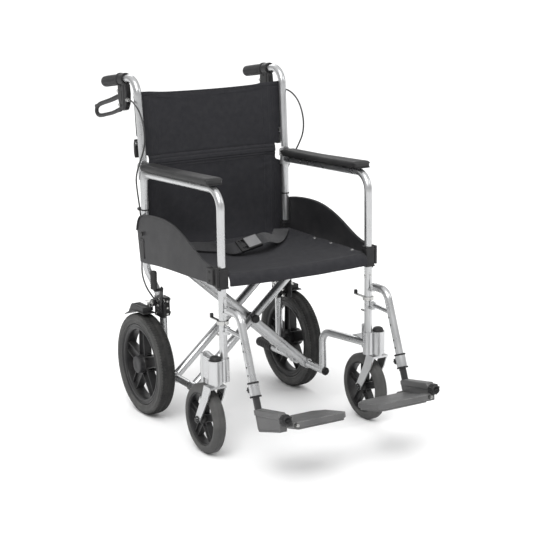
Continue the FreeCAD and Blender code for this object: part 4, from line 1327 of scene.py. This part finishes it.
def makeParkingBrake(side, label):
    frameBody = "side_frame_" + label
    mouldedCopy("brake_bracket_" + label, "brakeBracket_" + label, "black_steel", frameBody, 1.0, 2)
    bm = bmesh.new()
    for y, z, x, out in ((236, 322, 217.2, 1), (262, 340, 217.2, 1), (268, 304, 217, 1), (240, 352, 217, 1),
                         (251, 344, 184, -1), (273, 344, 184, -1), (251, 304, 184, -1), (273, 304, 184, -1)):
        hexBolt(bm, (x, y, z), (out, 0, 0), 4.6, 3.6)
    for z in (304, 322, 342):
        cylinder(bm, (196, 244.5, z), (196, 236, z), 3, sides=16)
        hexBolt(bm, (206, 245, z), (0, -1, 0), 4.2, 4)
    spring = []
    for k in range(25):
        around = math.radians(90 * k)
        spring.append((219.5 + 1.2 * math.sin(around * 0.5), 246 + k * 0.62, 330 + 4.2 * math.cos(around)))
    addMesh(bm, splineMesh(spring, 0.9, resolution=4, sides=3))
    piece = newObject(bm, "brakeBolts_" + label, side=side)
    dress(piece, "zinc_steel", frameBody, (), 0.3)
    body = "parking_lever_" + label
    bm = bmesh.new()
    arm = plate(bm, [(228, 312), (244, 312), (245, 330), (231, 388), (224, 394), (214, 390),
                     (228, 330)], 218, 221.5)
    roundEdges(bm, arm, 1.0, 2)
    addMesh(bm, splineMesh([(219.5, 222, 384), (230, 222, 386), (245, 222, 384), (245, 222, 400)], 4.6,
                           resolution=8))
    hexBolt(bm, (221.5, 236, 322), (1, 0, 0), 5, 3.4)
    piece = newObject(bm, "parkArm_" + label, side=side)
    dress(piece, "black_steel", body, ("park_lever_" + label,))
    bm = bmesh.new()
    profile = [(0, 5), (0, 9), (1.4, 10)]
    for k in range(6):
        start = 6 + 6 * k
        profile += [(start, 10), (start + 0.9, 9.1), (start + 2.1, 9.1), (start + 3, 10)]
    profile += [(48, 10), (52, 8.6), (54, 5), (54.4, 0)]
    revolve(bm, profile, (245, 222, 390), (0, 0, 1), 32)
    piece = newObject(bm, "parkGrip_" + label, side=side)
    dress(piece, "grip_rubber", body)
    body = "tyre_brake_" + label
    bm = bmesh.new()
    block = plate(bm, [(256, 311.5), (300, 310.5), (330, 304), (352, 295), (356, 296), (352, 303), (338, 322),
                       (330, 327.5), (256, 328)], 239, 267)
    roundEdges(bm, block, 2.2, 3, 20)
    lip = plate(bm, [(244, 310.8), (281, 310.8), (316, 307), (345, 297.5), (376, 284), (377.5, 286),
                     (346, 300.5), (316, 310), (281, 314), (244, 314)], 232.5, 270.5)
    roundEdges(bm, lip, 0.9, 2, 30)
    link = plate(bm, [(254, 330), (298, 317), (298, 331), (271, 348), (254, 348)], 223, 232)
    roundEdges(bm, link, 1.2, 2, 25)
    tab = box(bm, (230, 262, 315), (241, 298, 325))
    roundEdges(bm, tab, 1.4, 2)
    for y in (268, 284, 300, 316):      # moulded ribs on top of the block
        rib = box(bm, (243, y - 1.6, 326), (263, y + 1.6, 329))
        roundEdges(bm, rib, 0.8, 2)
    dress(newObject(bm, "brakeShoe_" + label, side=side), "black_moulding", body, ("brake_shoe_" + label,))
    bm = bmesh.new()        # bright return spring plate on the shoe
    strip = plate(bm, [(252, 329), (258, 338), (270, 344), (286, 342), (287, 340), (271, 341.6),
                       (260, 336), (254, 328)], 234, 246)
    roundEdges(bm, strip, 0.4, 1)
    hexBolt(bm, (232.6, 262, 340), (1, 0, 0), 5.2, 4)
    piece = newObject(bm, "shoeSpring_" + label, side=side)
    dress(piece, "zinc_steel", body)


for label, side in sides.items():
    makeParkingBrake(side, label)
print("parking brakes built")


# cross brace fittings

bm = bmesh.new()
crossHeight = middleOf("centre_pivot").z
plugFront = toFrame.inverted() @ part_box("centre_pivot")[0]
revolve(bm, [(0, 0), (0, 10), (1.4, 12.2), (6, 12.6), (7, 12.6), (7, 0)],
        (0, plugFront.y - 1, crossHeight), (0, 1, 0), 32)
piece = newObject(bm, "pivotPlug")
dress(piece, "black_moulding", "cross_brace_b")
bm = bmesh.new()
plugRear = toFrame.inverted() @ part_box("centre_pivot")[1]
hexBolt(bm, (0, plugRear.y - 6, crossHeight), (0, 1, 0), 9.5, 7)
cylinder(bm, (0, plugFront.y + 4, crossHeight), (0, plugRear.y - 2, crossHeight), 6, sides=24)
for y in (95, 123, 152, 181):
    cylinder(bm, (0, y - 0.8, crossHeight), (0, y + 0.8, crossHeight), 14, sides=32)
piece = newObject(bm, "pivotBolt")
dress(piece, "zinc_steel", "cross_brace_b", ("centre_pivot",), 0.4)
print("cross brace fitted")


# cloth helpers

def spread(*stops):
    # positions from one stop to the next, in steps no longer than each stop's own
    found = [stops[0][0]]
    for (start, step), (end, _) in zip(stops, stops[1:]):
        count = max(1, math.ceil(abs(end - start) / step - 1e-6))
        found += [start + (end - start) * k / count for k in range(1, count + 1)]
    return found


def clothGrid(columns, rows, place, skip=None):
    # a grid of cloth whose UV map is in metres along the weave
    bm = bmesh.new()
    weave = bm.loops.layers.uv.new("weave")
    grid = [[bm.verts.new(place(u, v)) for u in columns] for v in rows]
    for j in range(len(rows) - 1):
        for i in range(len(columns) - 1):
            corners = ((i, j), (i + 1, j), (i + 1, j + 1), (i, j + 1))
            if skip and skip((columns[i] + columns[i + 1]) / 2, (rows[j] + rows[j + 1]) / 2):
                continue
            face = bm.faces.new([grid[b][a] for a, b in corners])
            for loop, (a, b) in zip(face.loops, corners):
                loop[weave].uv = (columns[a] / 1000, rows[b] / 1000)
    bmesh.ops.delete(bm, geom=[v for v in bm.verts if not v.link_faces], context="VERTS")
    return bm


def settle(piece, hold, pull, slack, reach, frames=16):
    # cloth hangs between the points that are held, and no point goes further than reach
    cut = [v.co.copy() for v in piece.data.vertices]
    held = piece.vertex_groups.new(name="held")
    for i, co in enumerate(cut):
        weight = hold(toFrame.inverted() @ co)
        if weight > 0:
            held.add([i], weight, "REPLACE")
    cloth = piece.modifiers.new("cloth", "CLOTH")
    cloth.settings.vertex_group_mass = "held"
    cloth.settings.quality = 5
    cloth.settings.mass = 0.25
    cloth.settings.tension_stiffness = 18
    cloth.settings.compression_stiffness = 10
    cloth.settings.shear_stiffness = 6
    cloth.settings.bending_stiffness = 0.35
    cloth.settings.shrink_min = -slack
    cloth.collision_settings.use_collision = False
    before = scene.gravity.copy()
    scene.gravity = pull
    for step in range(1, frames + 1):
        scene.frame_set(step)
    applyModifiers(piece)
    scene.gravity = before
    scene.frame_set(1)
    piece.vertex_groups.clear()
    for vertex, start in zip(piece.data.vertices, cut):
        move = vertex.co - start
        if move.length > 1e-7:
            vertex.co = start + move * (reach * math.tanh(move.length / reach) / move.length)


def thicken(piece, thick, smooth=1):
    if smooth:
        addModifier(piece, "SUBSURF", levels=smooth, render_levels=smooth)
    addModifier(piece, "SOLIDIFY", thickness=thick / 1000, offset=0)
    applyModifiers(piece)


def stitchRow(bm, tree, points, facing, pitch=4.2):
    # thread stitches laid on the cloth along a row of points
    for start, end in zip(points, points[1:]):
        start, end = Vector(start), Vector(end)
        count = max(1, int((end - start).length / pitch))
        for k in range(count):
            middle = start.lerp(end, (k + 0.5) / count)
            found = tree.ray_cast(inFrame(middle - Vector(facing) * 40), Vector(facing))[0]
            if found is None:
                continue
            found = toFrame.inverted() @ found
            along = (end - start).normalized()
            made = cylinder(bm, found - along * 1.45, found + along * 1.45, 0.42, sides=6)
            bmesh.ops.translate(bm, vec=Vector(facing) * -0.12, verts=made)


# seat

seat = {
    "rail": (222, 497), "wrap": 12.9, "wrapTurn": 215, "rear": 256, "front": -167, "roll": 22, "rollTurn": 88,
    "hem": 10, "dip": 4.5, "thick": 1.9, "screws": (78, -8, -118), "narrow": 208, "frontHalf": 220,
    "screwLean": 38,
}


def makeSeat(size):
    railX, railZ = size["rail"]
    wrap, roll = size["wrap"], size["roll"]
    loop = math.radians(size["wrapTurn"]) * wrap
    straight = size["rear"] - size["front"]
    turn = math.radians(size["rollTurn"])

    def place(u, v):
        out = 1 if u > 0 else -1
        if abs(u) <= railX:
            x, z = u, railZ + wrap - size["dip"] * (1 - (u / railX) ** 2)
        else:
            angle = math.pi / 2 - (abs(u) - railX) / wrap
            x, z = out * (railX + wrap * math.cos(angle)), railZ + wrap * math.sin(angle)
        if v <= straight:
            return x, size["rear"] - v, z
        angle = min((v - straight) / roll, turn)
        tail = max(0, v - straight - turn * roll)
        y = size["front"] - roll * math.sin(angle) - tail * math.cos(angle)
        return x, y, z - roll * (1 - math.cos(angle)) - tail * math.sin(angle)

    def skip(u, v):
        return v > size["rear"] + 128 and abs(u) > size["frontHalf"] or v < 16 and abs(u) > size["narrow"]

    wide, narrow = size["frontHalf"], size["narrow"]
    columns = spread((-railX - loop, 6), (-railX, 7), (-wide, 6), (-narrow, 6), (narrow, 6), (wide, 7),
                     (railX, 6), (railX + loop, 6))
    rows = spread((0, 6), (16, 6), (size["rear"] + 128, 6), (straight, 3.2), (straight + turn * roll, 4.4),
                  (straight + turn * roll + size["hem"], 5))
    piece = newObject(clothGrid(columns, rows, place, skip), "seatSling")
    settle(piece, lambda p: 1.0 if abs(p.x) > 206 else (0.6 if p.y < size["front"] + 4 else 0.0),
           (0, 0, -9.81), 0.0015, 0.007)
    for vertex in piece.data.vertices:      # cloth puffs up a little between the rail screws
        p = toFrame.inverted() @ vertex.co
        near = min((p.y - y) ** 2 for y in size["screws"])
        over = math.exp(-((abs(p.x) - railX + 6) / 17) ** 2)
        lift = 2.3 * over * (1 - math.exp(-near / 420)) if p.z > railZ + 8 and p.y > size["front"] else 0
        ripple = 0.5 * noise.noise(Vector((p.x / 60, p.y / 75, 3)))
        if abs(p.x) > railX - 2:
            ripple = max(ripple, 0)
        vertex.co.z += (lift + ripple) / 1000
    thicken(piece, size["thick"])
    dress(piece, "upholstery", None, ("seat_sling",), weighted=False)
    acrossFold(piece)
    bm = bmesh.new()
    for side in sides.values():
        for y in size["screws"]:
            lean = math.radians(size["screwLean"])
            out = Vector((-side * math.sin(lean), 0, math.cos(lean)))
            foot = Vector((side * railX, y, railZ)) + out * (wrap + 1.6)
            revolve(bm, [(-1.2, 3.2), (-1.2, 7.0), (0.5, 7.2), (1.1, 6.0), (1.1, 3.2)], foot, out, 28,
                    closed=True)
            screwHead(bm, foot + out * 0.8, out, 4.2, 2.4)
    for name, body, wanted in (("seatScrews_left", "cross_brace_b", 1),
                               ("seatScrews_right", "cross_brace_a", -1)):
        part = bm.copy()
        bmesh.ops.delete(part, geom=[v for v in part.verts if v.co.x * wanted < 0], context="VERTS")
        dress(newObject(part, name), "zinc_steel", body)
    bm.free()
    for side, label, body in ((1, "left", "cross_brace_b"), (-1, "right", "cross_brace_a")):
        bm = bmesh.new()        # plugs in the ends of the seat rail
        for y, out in ((-149, -1), (261, 1)):
            revolve(bm, [(-3, 0), (-3, 10.8), (0, 11.4), (1.8, 11.4), (3.2, 10.2), (3.6, 0)],
                    (railX, y, railZ), (0, out, 0), 32)
        dress(newObject(bm, "seatRailPlugs_" + label, side=side), "black_moulding", body)


def acrossFold(piece):
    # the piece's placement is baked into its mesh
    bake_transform(piece)


makeSeat(seat)
print("seat cloth settled")


# lap belt and buckle

belt = {"wide": 46, "thick": 1.7, "lean": 26, "tilt": -15, "middle": (-28, 42, 531)}


def beltTurn(size):
    lean = Matrix.Rotation(math.radians(size["lean"]), 4, "X")
    return Matrix.Translation(size["middle"]) @ lean @ Matrix.Rotation(math.radians(size["tilt"]), 4, "Y")


def makeBelt(side, label, size):
    turn = beltTurn(size)
    route = [
        (side * 217, 274, 497), (side * 207, 250, 511.5), (side * 178, 212, 513.5),
        (side * 136, 152, 515), (side * 98, 104, 516),
        turn @ Vector((side * 58, 4, -3)), turn @ Vector((side * 36, 0, 0)),
        turn @ Vector((side * 22, 0, -1)),
    ]
    line = [v.co.copy() for v in splineMesh(route, 0, resolution=9).vertices]
    lengths = [0]
    for a, b in zip(line, line[1:]):
        lengths.append(lengths[-1] + (b - a).length)
    wide = size["wide"] / 2

    across = turn.to_3x3() @ Vector((0, 1, 0))

    def place(u, v):
        index = min(range(len(lengths)), key=lambda k: abs(lengths[k] - v))
        share = v / lengths[-1]
        flat = Vector((-side * 0.79, 0.61, 0))
        edge = flat.lerp(across, min(1, max(0, (share - 0.15) / 0.55))).normalized()
        ripple = 1.0 * math.sin(share * 17 + side) * (u / wide) * math.sin(math.pi * share)
        return line[index] + edge * u + Vector((0, 0, ripple))

    bm = clothGrid(spread((-wide, 4), (wide, 4)), lengths, place)
    piece = newObject(bm, "lapBelt_" + label)
    thicken(piece, size["thick"])
    dress(piece, "webbing", None, ("lap_belt",) if side > 0 else (), weighted=False)
    acrossFold(piece)


def makeBuckle(size):
    turn = beltTurn(size)
    bm = bmesh.new()
    shell = box(bm, (-12, -25, -5.5), (32, 25, 5.5))
    roundEdges(bm, shell, 2.6, 3)
    for y in (-22.4, 22.4):             # side arms of the release
        arm = box(bm, (-27, y - 2.4, -3.4), (-10, y + 2.4, 3.4))
        roundEdges(bm, arm, 1.2, 2)
    bar = box(bm, (-34, -25, -4.4), (-26, 25, 4.4))
    roundEdges(bm, bar, 1.6, 3)
    tongue = box(bm, (-30, -9, -2.4), (-10, 9, 2.4))
    roundEdges(bm, tongue, 0.8, 2)
    loop = box(bm, (-22, -23, -2.8), (-19, 23, 2.8))
    roundEdges(bm, loop, 0.8, 2)
    bm.transform(turn)
    piece = newObject(bm, "buckleShell")
    dress(piece, "black_moulding", None, ("belt_buckle",))
    applyModifiers(piece)
    acrossFold(piece)
    # pressing face of the buckle, finished light grey: painted highlight
    bm = bmesh.new()
    face = box(bm, (-9, -21, 4.6), (29, 21, 6.4))
    roundEdges(bm, face, 0.8, 2)
    for k in range(12):                 # fine ribs on the pressing face
        x = -6.4 + k * 3.1
        rib = box(bm, (x, -19.5, 5.8), (x + 1.3, 19.5, 7.0))
        roundEdges(bm, rib, 0.35, 1)
    bm.transform(turn)
    piece = newObject(bm, "buckleFacePaintedHighlight")
    dress(piece, "black_moulding", None, finish="buckle_face_painted_highlight")
    applyModifiers(piece)
    acrossFold(piece)


for label, side in sides.items():
    makeBelt(side, label, belt)
makeBuckle(belt)
print("belt laid")


# back panels

backCloth = {
    "hinge": 739, "lean": math.tan(math.radians(4.3)), "plane": 295.6, "thick": 2.2,
    "clothHalf": 227, "seams": (211, 197, 177), "notch": (712, 770), "notchHalf": 212,
    "foldShare": 0.449,
}


def makeBackPanel(name, node, body, low, high, half, rows, dipTop, tuck, size):
    def middleY(z):
        return size["plane"] + max(0, z - size["hinge"]) * size["lean"]

    def place(u, v):
        x = u * half(v)
        top = dipTop * (1 - u * u) * max(0, (v - low) / (high - low)) ** 3
        y = middleY(v) + 3.4 * (1 - u * u) - tuck * min(1, max(0, (764 - v) / 12))
        return x, y, v - top

    seamShares = [s / size["clothHalf"] for s in size["seams"]]
    stops = [(-1, 0.016)]
    for share in sorted([-s for s in seamShares] + seamShares):
        stops += [(share - 0.007, 0.004), (share, 0.004), (share + 0.007, 0.016)]
    stops[-1] = (stops[-1][0], 0.016)
    columns = spread(*stops, (1, 0.016))
    heights = [(low, 6)]
    for z in rows:
        heights += [(z - 1.6, 0.9), (z, 0.9), (z + 1.6, 6)]
    bm = clothGrid(columns, spread(*heights, (high, 6)), place)
    weave = bm.loops.layers.uv.active
    for face in bm.faces:
        for loop in face.loops:
            u, v = loop[weave].uv
            loop[weave].uv = (u * size["clothHalf"], v)
    piece = newObject(bm, name)
    settle(piece, lambda p: 1.0 if abs(p.x) > 196 else 0.0, (0, 5.0, -7.0), 0.004, 0.0075)
    for vertex in piece.data.vertices:
        p = toFrame.inverted() @ vertex.co
        groove = sum(math.exp(-((abs(p.x) - s) / 1.5) ** 2) for s in size["seams"])
        groove += 1.6 * sum(math.exp(-((p.z - z) / 1.7) ** 2) for z in rows)
        swell = 0.9 * sum(math.exp(-((p.z - z - 5.5) / 3.2) ** 2) for z in rows)
        crease = noise.noise(Vector(((p.x + p.z) / 85, (p.x - p.z) / 230, 7)))
        inside = max(0, 1 - (abs(p.x) / 180) ** 4)
        vertex.co.y += (0.8 * groove - swell - 1.5 * crease * inside) / 1000
    thicken(piece, size["thick"])
    dress(piece, "upholstery", body, (node,), weighted=False)
    tree = BVHTree.FromPolygons([v.co for v in piece.data.vertices],
                                [p.vertices for p in piece.data.polygons])
    bm = bmesh.new()
    for facing in ((0, 1, 0), (0, -1, 0)):
        for x in size["seams"]:
            for side in (-1, 1):
                stitchRow(bm, tree,
                          [(side * x, middleY(low), low + 6), (side * x, middleY(high), high - 8)], facing)
        for z in rows:
            stitchRow(bm, tree, [(-205, middleY(z), z), (205, middleY(z), z)], facing)
    stitches = newObject(bm, name + "Stitches")
    dress(stitches, "webbing", body, weighted=False)
    for part in (piece, stitches):
        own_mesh(part)


def upperHalf(z):
    # cut away beside the folding hinge, and wrapped further behind the upper canes
    if z < backCloth["notch"][1]:
        return backCloth["notchHalf"]
    return backCloth["clothHalf"] + 19 * min(1, max(0, (z - 812) / 12))


def lowerHalf(z):
    return backCloth["notchHalf"] if z > backCloth["notch"][0] else 236


makeBackPanel("backUpper", "back_sling_upper", "back_cane_right", 742, 951, upperHalf, (753, 764, 936),
              5, 2.9, backCloth)
makeBackPanel("backLower", "back_sling_lower", "side_frame_right", 483, 751, lowerHalf, (731, 741), 0,
              0, backCloth)
print("back cloth settled")
